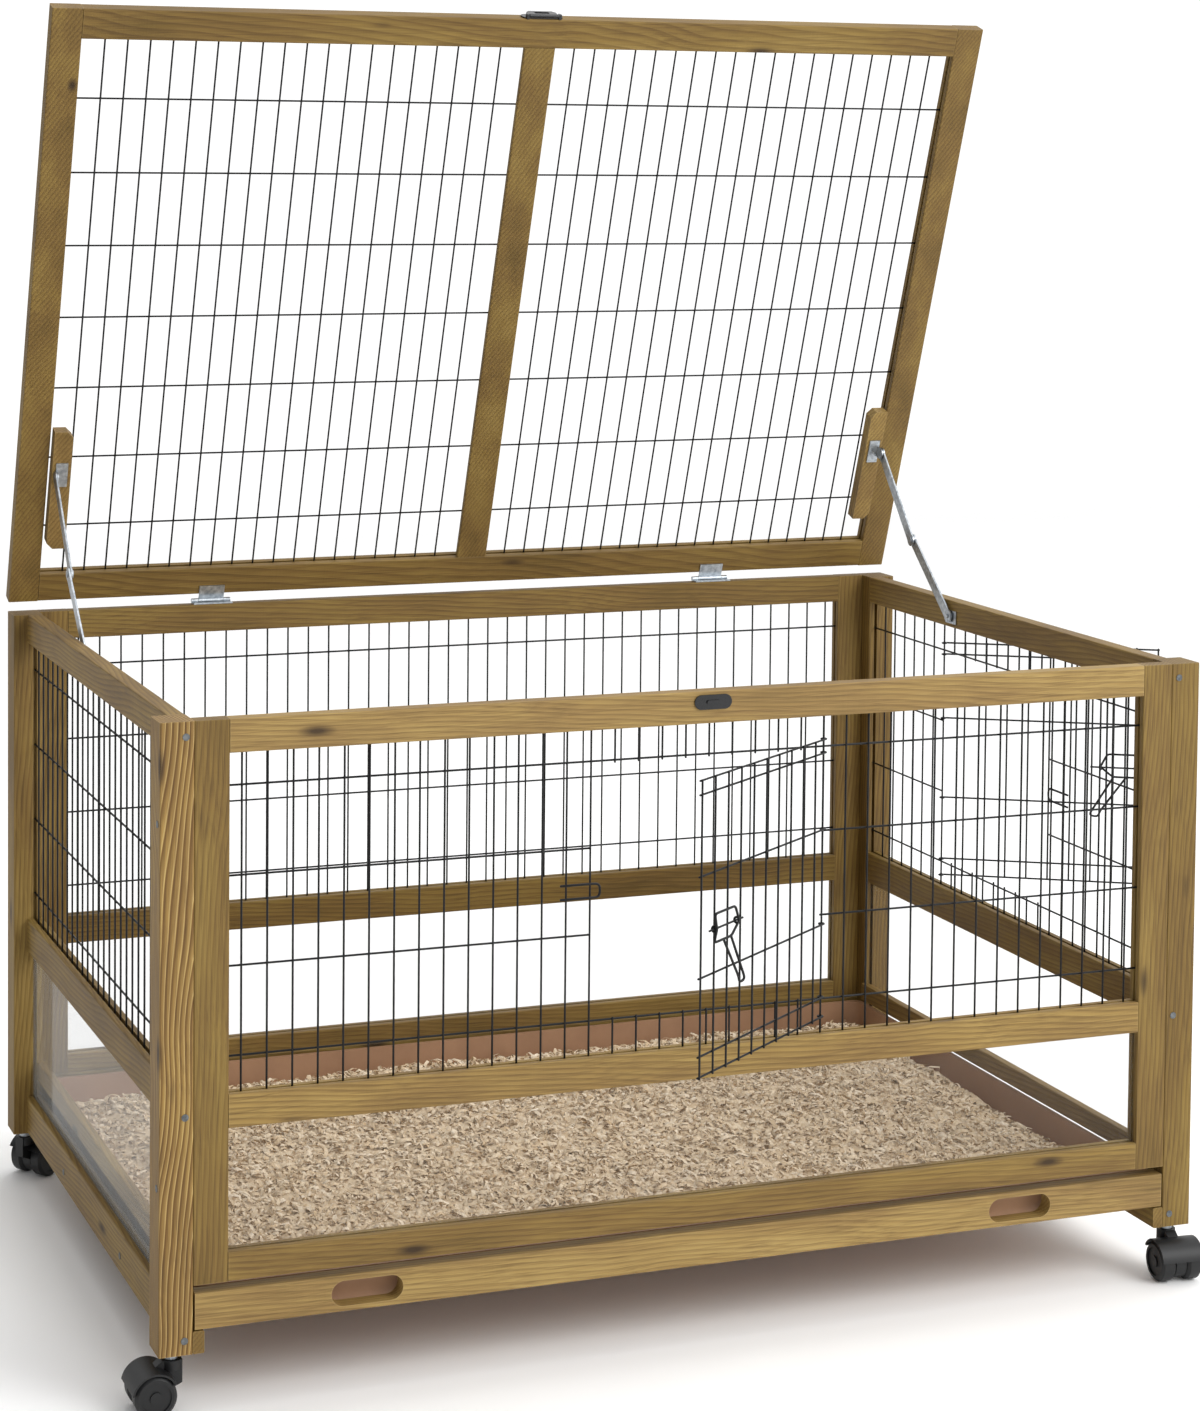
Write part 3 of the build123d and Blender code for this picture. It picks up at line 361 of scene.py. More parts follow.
@dataclass(frozen=True)
class ClearAcrylic(Finish):
    """Extruded acrylic sheet: clear, with a gloss that grows at grazing angles."""

    def surface(self, tree: Tree, place: Socket) -> Node:
        """Clear where it is seen square on, a mirror-like film by Fresnel's law, a little haze."""
        haze = add_node(tree, "TexNoise", {"Vector": place, "Scale": 9.0, "Detail": 3.0})
        gloss = add_node(tree, "Fresnel", {"IOR": 1.22})
        film = add_node(tree, "MapRange", {"Value": haze, "To Min": 0.008, "To Max": 0.03})
        cover = add_node(tree, "Math", {0: gloss, 1: film}, operation="ADD", use_clamp=True)
        # The sheet is thin, so its far faces, seen from within, add nothing.
        inside = add_node(tree, "NewGeometry").outputs["Backfacing"]
        near = add_node(tree, "Math", {0: 1.0, 1: inside}, operation="SUBTRACT")
        cover = add_node(tree, "Math", {0: cover, 1: near}, operation="MULTIPLY")
        clear = add_node(tree, "BsdfTransparent", {"Color": "#FAFAFA"})
        sheen = add_node(tree, "BsdfPrincipled",
                         {"Base Color": "#DDE3E4", "Roughness": 0.06, "IOR": 1.49})
        return add_node(tree, "MixShader", {0: cover, 1: clear, 2: sheen})


@dataclass(frozen=True)
class WoodShavings(Finish):
    """Planed softwood shavings: cream to pale tan, matt, each curl a little different."""

    def surface(self, tree: Tree, place: Socket) -> Node:
        """Each curl's own tone comes from the attribute "tone"; fine noise gives its grain."""
        tone = add_node(tree, "Attribute", attribute_name="tone").outputs["Fac"]
        curl = add_node(tree, "ValToRGB", {"Fac": tone}, (
            (0.0, "#C3AA88"), (0.25, "#CEB899"), (0.6, "#D9C7AC"), (1.0, "#E4D6C1")))
        grain_at = add_node(tree, "Mapping", {"Vector": place, "Scale": (500.0, 120.0, 300.0)})
        grain = add_node(tree, "TexNoise", {"Vector": grain_at, "Scale": 1.0, "Detail": 2.0})
        shade = add_node(tree, "ValToRGB", {"Fac": grain}, ((0.35, "#E6DAC9"), (0.6, "#FFFFFF")))
        colour = add_node(tree, "Mix", {FACTOR: 0.5, FIRST: curl, SECOND: shade},
                          **TINT).outputs[RESULT]
        return add_node(tree, "BsdfPrincipled", {"Base Color": colour, "Roughness": 0.85,
                                                 "Specular IOR Level": 0.25})


@dataclass(frozen=True)
class StudioSweep(Finish):
    """A seamless paper sweep: matt, nearly white, with only the faintest mottling."""

    def surface(self, tree: Tree, place: Socket) -> Node:
        """Two near whites over soft noise half a metre across."""
        cloud = add_node(tree, "TexNoise", {"Vector": place, "Scale": 2.0, "Detail": 1.0})
        colour = add_node(tree, "ValToRGB", {"Fac": cloud}, ((0.3, "#FAFAFA"), (0.7, "#FCFCFB")))
        return add_node(tree, "BsdfPrincipled", {"Base Color": colour, "Roughness": 0.9})


WIRE_COAT = CoatedSteelWire("powder_coated_wire")
ZINC = ZincPlatedSteel("zinc_plated_steel")
DULL_ZINC = ZincPlatedSteel("dulled_zinc_screws", "#55585A", "#7E8182", 0.45)
BLACK_NYLON = MouldedPlastic("moulded_black_nylon")
BLACK_ENAMEL = MouldedPlastic("enamelled_black_fitting", "#08090B", "#131418", 0.26, 2.0)
TRAY_PLASTIC = MouldedPlastic("terracotta_polypropylene", "#8E6A4E", "#A37D5E", 0.55, 1.5)
ACRYLIC = ClearAcrylic("clear_acrylic_sheet")
SHAVINGS = WoodShavings("planed_wood_shavings")
PAPER = StudioSweep("paper_sweep")


def put_mesh(name: str, points: np.ndarray, faces: np.ndarray, finish: Finish,
             smooth: bool = True) -> Piece:
    """Make an object at the origin from arrays of points, in millimetres, and faces.

    Args:
        name: Name of the piece.
        points: Array of n by 3 places.
        faces: Array of m by k point numbers, all with k corners.
        finish: Finish to dress it with.
        smooth: Whether faces shade smoothly.

    Returns:
        The new object, linked into the scene.
    """
    mesh = bpy.data.meshes.new(name)
    corners = faces.shape[1]
    mesh.vertices.add(len(points))
    mesh.vertices.foreach_set("co", (points * MM).astype(np.float32).ravel())
    mesh.loops.add(faces.size)
    mesh.loops.foreach_set("vertex_index", faces.astype(np.int32).ravel())
    mesh.polygons.add(len(faces))
    mesh.polygons.foreach_set("loop_start", np.arange(0, faces.size, corners, dtype=np.int32))
    mesh.polygons.foreach_set("use_smooth", np.full(len(faces), smooth))
    mesh.update(calc_edges=True)
    mesh.validate()
    obj = bpy.data.objects.new(name, mesh)
    bpy.context.scene.collection.objects.link(obj)
    obj.data.materials.append(finish.material())
    return obj


def seat(piece: Piece, body: str, node: str | None) -> None:
    """Set a piece on its body, in place of a node where one is named."""
    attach(piece, body)
    if node:
        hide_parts(node)
    LOG.info("built %s", piece.name)


def grid_faces(rows: int, columns: int) -> np.ndarray:
    """Four-cornered faces of a grid of points that are numbered row by row."""
    i, j = np.meshgrid(np.arange(rows - 1), np.arange(columns - 1), indexing="ij")
    first = i * columns + j
    return np.stack([first, first + columns, first + columns + 1, first + 1], -1).reshape(-1, 4)


def rounded_path(points: list[Place], bend: float, steps: int = 5) -> np.ndarray:
    """A bent wire's middle line: straight runs joined by curves of equal tangent length.

    Each corner is cut back by the bend's size along both runs, and the gap is filled by the
    quadratic curve (1-t)^2 A + 2 t (1-t) B + t^2 C through the two cuts A and C, drawn to the
    corner B.

    Args:
        points: Corners of the wire, in order.
        bend: Length cut back at each corner.
        steps: Points in each bend.

    Returns:
        Array of places along the wire.
    """
    p = np.array(points, float)
    t = np.linspace(0.0, 1.0, steps)[:, None]
    rows = [p[:1]]
    for before, corner, after in zip(p[:-2], p[1:-1], p[2:]):
        back = before - corner
        ahead = after - corner
        cut = min(bend, 0.49 * np.linalg.norm(back), 0.49 * np.linalg.norm(ahead))
        a = corner + back / np.linalg.norm(back) * cut
        c = corner + ahead / np.linalg.norm(ahead) * cut
        rows.append((1 - t) ** 2 * a + 2 * t * (1 - t) * corner + t ** 2 * c)
    rows.append(p[-1:])
    return np.concatenate(rows)


def wire_tube(path: np.ndarray, radius: float, side_on: Place, sides: int = 8) -> Shape:
    """A round wire with domed ends along a path.

    Around each place P with tangent T, the ring is P + r (U cos a + V sin a), where U is the
    tangent crossed with a fixed direction and V is T crossed with U. At each end two smaller
    rings, pushed out along the tangent, dome it.

    Args:
        path: Array of places.
        radius: Wire radius.
        side_on: A direction that no part of the path runs along.
        sides: Points in each ring.

    Returns:
        Points and four-cornered faces.
    """
    run = np.gradient(path, axis=0)
    run /= np.linalg.norm(run, axis=1)[:, None]
    u = np.cross(run, np.array(side_on, float))
    u /= np.linalg.norm(u, axis=1)[:, None]
    v = np.cross(run, u)
    centres = np.concatenate([path[:1] - run[:1] * radius * DOME_PUSH[:, None], path,
                              path[-1:] + run[-1:] * radius * DOME_PUSH[::-1, None]])
    u = np.concatenate([u[:1], u[:1], u, u[-1:], u[-1:]])
    v = np.concatenate([v[:1], v[:1], v, v[-1:], v[-1:]])
    size = np.full(len(centres), radius)
    size[:2] = radius * DOME_SIZE
    size[-2:] = radius * DOME_SIZE[::-1]
    angle = (np.arange(sides) * 2 * pi / sides)[None, :, None]
    ring = u[:, None, :] * np.cos(angle) + v[:, None, :] * np.sin(angle)
    points = centres[:, None, :] + ring * size[:, None, None]
    rows, columns = np.meshgrid(np.arange(len(centres) - 1), np.arange(sides), indexing="ij")
    after = (columns + 1) % sides
    faces = np.stack([rows * sides + columns, rows * sides + after,
                      (rows + 1) * sides + after, (rows + 1) * sides + columns], axis=-1)
    return points.reshape(-1, 3), faces.reshape(-1, 4)


def joined(parts: list[Shape]) -> Shape:
    """Join several point and face arrays into one pair."""
    starts = np.cumsum([0] + [len(points) for points, _ in parts[:-1]])
    return (np.concatenate([points for points, _ in parts]),
            np.concatenate([faces + start for (_, faces), start in zip(parts, starts)]))


def turned(points: np.ndarray, centre: Place, axis: str, degrees: float) -> np.ndarray:
    """Turn points about an axis letter through a centre, in degrees."""
    matrix = np.array(Matrix.Rotation(radians(degrees), 3, axis))
    middle = np.array(centre, float)
    return (points - middle) @ matrix.T + middle


def dress_node(node: str, finish: Finish) -> None:
    """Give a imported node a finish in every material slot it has, and log it."""
    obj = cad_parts[node]
    material = finish.material()
    if not obj.material_slots:
        obj.data.materials.append(material)
    for slot in obj.material_slots:
        slot.material = material
    LOG.info("dressed %s with %s", node, finish.name)


@dataclass
class Timber:
    """Every board and post of the cage, with its own cut of stained pine.

    Each node has a shade, from 0 for the palest board, and the strength of its figure.
    A shade is partly the stain's own tone and partly painted shade, larger on boards that
    sit inside the cage or face away from the light.
    """

    # Shades hold painted shade as well as stain: back, side and lid boards are painted darker.
    boards: dict[Grain, dict[str, tuple[float, float]]] = field(default_factory=lambda: {
        Grain.UPRIGHT: {
            "post_front_left": (0.02, 1.0), "post_front_right": (0.37, 0.35),
            "post_rear_left": (0.27, 0.4), "post_rear_right": (0.34, 0.5),
            "front_stiles": (0.32, 0.3), "back_stiles": (0.3, 0.4)},
        Grain.ACROSS: {
            "front_top_rail": (0.0, 0.3), "front_mid_rail": (0.08, 0.45),
            "front_bottom_rail": (0.24, 0.35), "back_top_rail": (0.34, 0.4),
            "back_mid_rail": (0.42, 0.4), "back_bottom_rail": (0.25, 0.3),
            "back_stop_rail": (0.3, 0.3), "drawer_front": (0.0, 0.25),
            "lid_cross_rails": (0.32, 0.35)},
        Grain.DEPTH: {
            "left_top_rail": (0.25, 0.4), "left_mid_rail": (0.33, 0.4),
            "left_bottom_rail": (0.22, 0.4), "right_top_rail": (0.25, 0.4),
            "right_mid_rail": (0.4, 0.35), "right_bottom_rail": (0.25, 0.4),
            "sill_battens": (0.12, 0.3), "drawer_runners": (0.3, 0.3)},
        Grain.LID: {
            "lid_stiles": (0.34, 0.35), "lid_centre_slat": (0.36, 0.3),
            "lid_stay_blocks": (0.15, 0.4)}})

    def dress(self) -> None:
        """Give each board its own finish, cut from a different place in the log."""
        cut = 0.0
        for grain, boards in self.boards.items():
            for node, (shade, figure) in boards.items():
                cut += 1.0
                dress_node(node, StainedPine(f"stained_pine_{node}", grain, shade, figure, cut))


@dataclass
class Fittings:
    """Metal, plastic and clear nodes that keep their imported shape."""

    finishes: dict[str, Finish] = field(default_factory=lambda: {
        "long_panes": ACRYLIC, "side_panes": ACRYLIC, "drawer_tray": TRAY_PLASTIC,
        "hinge_frame_leaves": ZINC, "hinge_lid_leaves": ZINC, "stay_side_brackets": ZINC,
        "stay_lid_brackets": ZINC, "frame_screws": DULL_ZINC, "caster_stems": ZINC,
        "stay_lower_left": ZINC, "stay_lower_right": ZINC, "stay_upper_left": ZINC,
        "stay_upper_right": ZINC, "latch_keeper": BLACK_ENAMEL, "lid_latch": BLACK_ENAMEL,
        "lid_latch_hasp": BLACK_ENAMEL})
    corners: tuple[str, ...] = ("front_left", "front_right", "rear_left", "rear_right")

    def dress(self) -> None:
        """Dress each fitting, and the four casters in black nylon."""
        for node, finish in self.finishes.items():
            dress_node(node, finish)
        for corner in self.corners:
            dress_node(f"caster_hood_{corner}", BLACK_NYLON)
            dress_node(f"caster_wheels_{corner}", BLACK_NYLON)


@dataclass
class StopBoard:
    """The board behind the drawer, drawn up to the rail over it so that no light shows between."""

    reach: float = 541.0
    back: float = 370.0
    thick: float = TIMBER
    low: float = FOOT_Z
    high: float = FOOT_Z + 61.8
    ease: float = 1.5
    finish: Finish = StainedPine("stained_pine_stop_board", Grain.ACROSS, 0.3, 0.3, 31.0)

    def build(self) -> None:
        """Sweep a rectangle with its corners cut off from side to side."""
        front, back, e = self.back - self.thick, self.back, self.ease
        low, high = self.low, self.high
        section = np.array([(front + e, low), (back - e, low), (back, low + e), (back, high - e),
                            (back - e, high), (front + e, high), (front, high - e),
                            (front, low + e)])
        ends = [np.concatenate([np.full((8, 1), x), section], axis=1)
                for x in (-self.reach, self.reach)]
        k = np.arange(8)
        sides = np.stack([k, k + 8, (k + 1) % 8 + 8, (k + 1) % 8], axis=-1)
        caps = np.array([(0, 1, 2, 3), (0, 3, 4, 7), (4, 5, 6, 7)])
        faces = np.concatenate([sides, caps, caps[:, ::-1] + 8])
        board = put_mesh("stop_board", np.concatenate(ends), faces, self.finish, False)
        seat(board, "cage", "back_stop_rail")


@dataclass(frozen=True)
class LatchHook:
    """The flat U of wire beside a doorway that takes the door's latch.

    Its two arms lie at two heights, out from the wall's plane, and run from a tail on the
    panel's side of the doorway's edge wire to a nose past it.
    """

    low: float = FOOT_Z + 411.5
    high: float = FOOT_Z + 425.5
    out: float = 3.0
    nose: float = 10.0
    tail: float = 32.5
    bend: float = 6.0
    bend_steps: int = 9


@dataclass
class WirePanel:
    """A welded panel of upright and row wires on a wall of the cage.

    The wall's plane is fixed by an axis ("x" or "y"), its place and its outward sign. Uprights
    lie one layer outside the plane and rows one layer inside it. A doorway is given by the
    numbers of its two edge wires.
    """

    name: str
    axis: str
    plane: float
    outward: float
    columns: np.ndarray
    low: float
    high: float
    reach: float
    doorway: tuple[int, int] | None = None
    hook_form: LatchHook = LatchHook()
    layer: float = 1.0
    upright_stub: float = 2.0
    row_stub: float = 1.0

    @property
    def side_on(self) -> Place:
        """The wall's normal, which no wire runs along."""
        return (0.0, 1.0, 0.0) if self.axis == "y" else (1.0, 0.0, 0.0)

    def place(self, along: np.ndarray, out: np.ndarray, height: np.ndarray) -> np.ndarray:
        """Places on the wall from distances along it, outwards from it and above the floor."""
        level = self.plane + self.outward * np.asarray(out, float)
        parts = np.broadcast_arrays(np.asarray(along, float), level, np.asarray(height, float))
        order = (0, 1, 2) if self.axis == "y" else (1, 0, 2)
        return np.stack([parts[k] for k in order], axis=-1)

    def straight(self, start: Place, end: Place) -> Shape:
        """One straight wire between two places on the wall, each (along, out, height)."""
        ends = np.array([start, end], float)
        path = self.place(ends[:, 0], ends[:, 1], ends[:, 2])
        return wire_tube(path, WIRE_RADIUS, self.side_on)

    def hook(self) -> Shape:
        """The hook at the doorway's first edge wire."""
        form = self.hook_form
        edge = self.columns[self.doorway[0]]
        nose, tail = edge + form.nose, edge - form.tail
        corners = [(tail, form.out, form.low), (nose, form.out, form.low),
                   (nose, form.out, form.high), (tail, form.out, form.high)]
        path = rounded_path([tuple(self.place(*corner)) for corner in corners],
                            form.bend, form.bend_steps)
        return wire_tube(path, LATCH_RADIUS, self.side_on)

    def build(self) -> None:
        """Weld the panel: uprights outside, rows inside, with the doorway left open."""
        parts = []
        first, last = self.doorway or (0, 0)
        for number, along in enumerate(self.columns):
            spans = [(self.low, self.high)]
            if first < number < last:
                spans = [(self.low, ROWS_Z[0] + self.upright_stub),
                         (ROWS_Z[-1] - self.upright_stub, self.high)]
            parts += [self.straight((along, self.layer, a), (along, self.layer, b))
                      for a, b in spans]
        for number, row in enumerate(ROWS_Z):
            spans = [(-self.reach, self.reach)]
            if self.doorway and 0 < number < len(ROWS_Z) - 1:
                spans = [(-self.reach, self.columns[first] + self.row_stub),
                         (self.columns[last] - self.row_stub, self.reach)]
            parts += [self.straight((a, -self.layer, row), (b, -self.layer, row))
                      for a, b in spans]
        if self.doorway:
            parts.append(self.hook())
        panel = put_mesh(f"welded_{self.name}", *joined(parts), WIRE_COAT)
        seat(panel, "cage", self.name)


@dataclass
class LidPanel:
    """The lid's welded panel, worked out on the closed lid and turned with it.

    Start, end and row places are distances in front of the lid's pin; the base is the long
    wires' height over it.
    """

    columns: int = 19
    edge: float = 512.0
    base: float = 8.0
    layer_step: float = 2.0
    start: float = 37.6
    end: float = 709.0
    first_row: float = 103.5
    rows: int = 7
    reach: float = 546.0

    def build(self) -> None:
        """Lay long wires under row wires, from groove to groove, and turn them with the lid."""
        parts = []
        y, z = LID_PIN
        low = z + self.base
        for side in (-1, 1):
            for k in range(self.columns):
                x = side * (self.edge - k * PITCH)
                path = np.array([(x, y - self.start, low), (x, y - self.end, low)])
                parts.append(wire_tube(path, WIRE_RADIUS, (0, 0, 1)))
        high = low + self.layer_step
        for k in range(self.rows):
            level = y - self.first_row - ROW_PITCH * k
            path = np.array([(-self.reach, level, high), (self.reach, level, high)])
            parts.append(wire_tube(path, WIRE_RADIUS, (0, 0, 1)))
        points, faces = joined(parts)
        points = turned(points, (0, *LID_PIN), "X", -LID_OPEN_DEG)
        panel = put_mesh("welded_lid_mesh", points, faces, WIRE_COAT)
        seat(panel, "lid", "lid_mesh")


@dataclass(frozen=True)
class BentLatch:
    """A door latch: a frame above its bar, a frame below it, a long handle, and two rings.

    Each bent wire has its corners as (distance from the hinge wire, height over the bar) and
    the size of its bends.
    """

    bends: tuple[tuple[tuple[tuple[float, float], ...], float], ...] = (
        (((192, 0), (200, 16), (240, 16), (236, 0)), 4.0),
        (((192, 0), (207, -12), (241, -12), (236, 0)), 4.0),
        (((208, -12), (178.6, -61), (190, -62), (192.4, -55), (223, -12)), 6.0))
    ring: float = 2.75
    ring_places: tuple[float, float] = (192, 236)
    ring_slant: float = 0.8
    ring_points: int = 16
    ring_span: tuple[float, float] = (pi * 1.5, -pi * 0.4)
    side_on: Place = (0.05, 1.0, 0.03)


@dataclass
class WireDoor:
    """A wire door that curls round the panel's hinge wire, and its sliding latch.

    It is worked out closed, running to -X from the hinge wire, and then turned. Its rows are
    given by the panel row that each lies near and how far above it. Uprights and the latch's
    bar lie outside the rows by their gaps, and wires run past their last crossing by the end.
    """

    name: str
    latch_name: str
    hinge: tuple[float, float]
    turn: float
    width: float = 259.0
    curl: float = 2.5
    curl_points: int = 18
    curl_end: float = pi * 1.28
    row_places: tuple[tuple[int, float], ...] = (
        (3, 8), (3, -6), (2, 2.3), (1, -9), (0, 2.3), (0, -18))
    uprights: int = 10
    upright_gap: float = 2.0
    wire_end: float = 1.0
    bar_gap: float = 4.0
    bar_span: tuple[float, float] = (180, 246)
    latch_z: float = FOOT_Z + 408.7
    latch: BentLatch = BentLatch()

    def at(self, s: float, out: float, z: float) -> Place:
        """A place by distance from the hinge wire, outward distance and height."""
        return (self.hinge[0] - s, self.hinge[1] - out, z)

    def row(self, z: float) -> Shape:
        """One row wire: a straight run whose end circles the hinge wire at the curl's radius."""
        angle = np.linspace(-pi / 2, self.curl_end, self.curl_points)
        circle = np.stack([self.hinge[0] + self.curl * np.cos(angle),
                           self.hinge[1] + self.curl * np.sin(angle),
                           np.full(self.curl_points, z)], axis=1)
        straight = np.array([self.at(self.width + self.wire_end, self.curl, z),
                             self.at(self.width / 2, self.curl, z)])
        return wire_tube(np.concatenate([straight, circle]), WIRE_RADIUS, (0, 0, 1))

    def build(self) -> None:
        """Build the door and its latch."""
        heights = [ROWS_Z[number] + over for number, over in self.row_places]
        parts = [self.row(z) for z in heights]
        for k in range(1, self.uprights + 1):
            out = self.curl + self.upright_gap
            path = np.array([self.at(k * PITCH, out, heights[-1] - self.wire_end),
                             self.at(k * PITCH, out, heights[0] + self.wire_end)])
            parts.append(wire_tube(path, WIRE_RADIUS, (0, 1, 0)))
        bar_out = self.curl + self.bar_gap
        bar = np.array([self.at(s, bar_out, self.latch_z) for s in self.bar_span])
        parts.append(wire_tube(bar, WIRE_RADIUS, (0, 1, 0)))
        self.finish_piece(f"wire_{self.name}", joined(parts), self.name)
        self.finish_piece(f"bent_{self.latch_name}", joined(self.latch_wires(bar_out)),
                          self.latch_name)

    def latch_wires(self, bar_out: float) -> list[Shape]:
        """Bend the latch's wires outside the bar, and close two rings round it.

        Args:
            bar_out: How far outside the hinge wire the bar runs.

        Returns:
            The bent wires.
        """
        form, z = self.latch, self.latch_z
        parts = []
        for corners, bend in form.bends:
            path = rounded_path([self.at(s, bar_out + form.ring, z + h) for s, h in corners], bend)
            parts.append(wire_tube(path, LATCH_RADIUS, form.side_on))
        for s in form.ring_places:
            angle = np.linspace(*form.ring_span, form.ring_points)
            slant = np.linspace(-form.ring_slant, form.ring_slant, form.ring_points)
            circle = np.stack([np.full(form.ring_points, self.hinge[0] - s) + slant,
                               self.hinge[1] - bar_out + form.ring * np.sin(angle),
                               z + form.ring * np.cos(angle)], axis=1)
            parts.append(wire_tube(circle, LATCH_RADIUS, (1, 0, 0)))
        return parts

    def finish_piece(self, name: str, shape: Shape, node: str) -> None:
        """Turn a shape to the door's open angle and set it on its body in place of a node."""
        points = turned(shape[0], (*self.hinge, 0), "Z", self.turn)
        piece = put_mesh(name, points, shape[1], WIRE_COAT)
        seat(piece, node.replace("_door_latch", "_latch"), node)


@dataclass
class Bedding:
    """Loose shavings in the tray: a rough ground, and thousands of thin curls lying on it.

    The ground thins out towards the tray's walls over the slope's width, down to a share of
    its depth. Lumps are pairs of wavelength and height. Curls have ranges of length, width
    and arch, and spreads of lean and roll in radians.
    """

    curls: int = 24000
    seed: int = 7
    depth: float = 21.0
    edge_share: float = 0.45
    slope: float = 60.0
    lumps: tuple[tuple[float, float], ...] = ((240, 1.6), (95, 1.1), (41, 0.8), (17, 0.7))
    waves_each: int = 4
    grid_mm: float = 5.0
    ground_inset: float = 4.0
    grit: float = 1.2
    ground_tone: tuple[float, float] = (0.25, 0.65)
    curl_inset: float = 16.0
    curl_length: tuple[float, float] = (4.0, 17.0)
    curl_width: tuple[float, float] = (1.6, 4.6)
    curl_arch: tuple[float, float] = (0.4, 3.4)
    curl_points: int = 5
    lean: float = 0.3
    roll: float = 0.45
    curl_lift: tuple[float, float] = (-0.5, 2.2)
    least_height: float = 0.5

    def box(self) -> tuple[Place, Place]:
        """The bedding solid's box in millimetres."""
        low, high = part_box("bedding")
        return tuple(v / MM for v in low), tuple(v / MM for v in high)

    def ground(self, x: np.ndarray, y: np.ndarray) -> np.ndarray:
        """Height of the shavings over the tray's floor.

        The height is a base that falls off near the tray's walls, plus sums of sines of
        different directions and wavelengths, from 240 mm heaps down to 17 mm lumps.
        """
        (x0, y0, _), (x1, y1, _) = self.box()
        edge = np.minimum(np.minimum(x - x0, x1 - x), np.minimum(y - y0, y1 - y))
        share = self.edge_share + (1 - self.edge_share) * np.clip(edge / self.slope, 0, 1)
        lumps = np.zeros_like(x)
        rng = np.random.default_rng(self.seed)
        for wavelength, height in self.lumps:
            for _ in range(self.waves_each):
                heading = rng.uniform(0, 2 * pi)
                phase = rng.uniform(0, 2 * pi)
                run = (x * cos(heading) + y * sin(heading)) * 2 * pi / wavelength
                lumps += height * 0.5 * np.sin(run + phase)
        return self.depth * share + lumps

    def build(self) -> None:
        """Build the ground and the curls, riding on the drawer."""
        (x0, y0, z0), (x1, y1, _) = self.box()
        across = int((x1 - x0) / self.grid_mm)
        deep = int((y1 - y0) / self.grid_mm)
        inset = self.ground_inset
        gx, gy = np.meshgrid(np.linspace(x0 + inset, x1 - inset, across),
                             np.linspace(y0 + inset, y1 - inset, deep), indexing="ij")
        rng = np.random.default_rng(self.seed + 1)
        top = z0 + self.ground(gx, gy) + rng.uniform(-self.grit, self.grit, gx.shape)
        top[[0, -1], :] = z0
        top[:, [0, -1]] = z0
        points = np.concatenate([np.stack([gx, gy, top], -1).reshape(-1, 3),
                                 np.stack([gx, gy, np.full(gx.shape, z0)], -1).reshape(-1, 3)])
        quad = grid_faces(across, deep)
        faces = np.concatenate([quad, quad[:, ::-1] + across * deep])
        ground = put_mesh("shavings_bed", points, faces, SHAVINGS)
        tone = np.tile(rng.uniform(*self.ground_tone, gx.size), 2)
        self.set_tone(ground, tone)
        curls = self.build_curls(rng)
        seat(ground, "drawer", "bedding")
        seat(curls, "drawer", None)

    def set_tone(self, piece: Piece, tone: np.ndarray) -> None:
        """Give each point of a piece its tone, from 0 for the darkest to 1."""
        layer = piece.data.attributes.new("tone", "FLOAT", "POINT")
        layer.data.foreach_set("value", tone.astype(np.float32))

    def build_curls(self, rng: np.random.Generator) -> Piece:
        """Thin arched strips: along t from -1 to 1 each runs on a curve and tapers at its ends.

        With the half turn a, a strip of length L runs along L/2 sin(ta)/sin(a), rises by
        0.3 L (cos(ta) - cos(a)), and is as wide as its width times 1 - 0.55 t^4. It is then
        rolled about X, leaned about Y and turned about Z.

        Args:
            rng: Source of the seeded numbers.

        Returns:
            One mesh that holds all curls.
        """
        (x0, y0, z0), (x1, y1, _) = self.box()
        n, inset = self.curls, self.curl_inset
        centre_x = rng.uniform(x0 + inset, x1 - inset, n)
        centre_y = rng.uniform(y0 + inset, y1 - inset, n)
        length = rng.gamma(5.0, 1.5, n).clip(*self.curl_length)
        width = rng.uniform(*self.curl_width, n)
        arch = rng.uniform(*self.curl_arch, n)
        t = np.linspace(-1, 1, self.curl_points)[None, :, None]
        side = np.array([-1.0, 1.0])[None, None, :]
        half_length = length[:, None, None] / 2
        half_turn = arch[:, None, None] / 1.4
        turn = t * half_turn
        along = half_length * np.sin(turn) / np.sin(half_turn).clip(0.3, None)
        rise = half_length * (np.cos(turn) - np.cos(half_turn)) * 0.6
        half = width[:, None, None] / 2 * (1 - 0.55 * t ** 4) * side
        local = np.stack([np.broadcast_to(along, half.shape), half,
                          np.broadcast_to(rise, half.shape)], -1)
        heading = rng.uniform(0, 2 * pi, n)
        lean = rng.normal(0, self.lean, n)
        roll = rng.normal(0, self.roll, n)
        ch, sh, cl, sl, cr, sr = (f(a) for a in (heading, lean, roll) for f in (np.cos, np.sin))
        zero, one = np.zeros(n), np.ones(n)
        about_z = np.stack([ch, -sh, zero, sh, ch, zero, zero, zero, one], -1).reshape(n, 3, 3)
        about_y = np.stack([cl, zero, sl, zero, one, zero, -sl, zero, cl], -1).reshape(n, 3, 3)
        about_x = np.stack([one, zero, zero, zero, cr, -sr, zero, sr, cr], -1).reshape(n, 3, 3)
        placed = np.einsum("nij,nabj->nabi", about_z @ about_y @ about_x, local)
        height = z0 + self.ground(centre_x, centre_y) + rng.uniform(*self.curl_lift, n)
        placed += np.stack([centre_x, centre_y, height], -1)[:, None, None, :]
        placed[..., 2] = np.clip(placed[..., 2], z0 + self.least_height, None)
        k = np.arange(self.curl_points - 1)
        strip = np.stack([k * 2, (k + 1) * 2, (k + 1) * 2 + 1, k * 2 + 1], -1)
        points_each = 2 * self.curl_points
        faces = (strip[None] + (np.arange(n) * points_each)[:, None, None]).reshape(-1, 4)
        curls = put_mesh("shavings_curls", placed.reshape(-1, 3), faces, SHAVINGS)
        self.set_tone(curls, np.repeat(rng.beta(2.2, 1.7, n), points_each))
        return curls


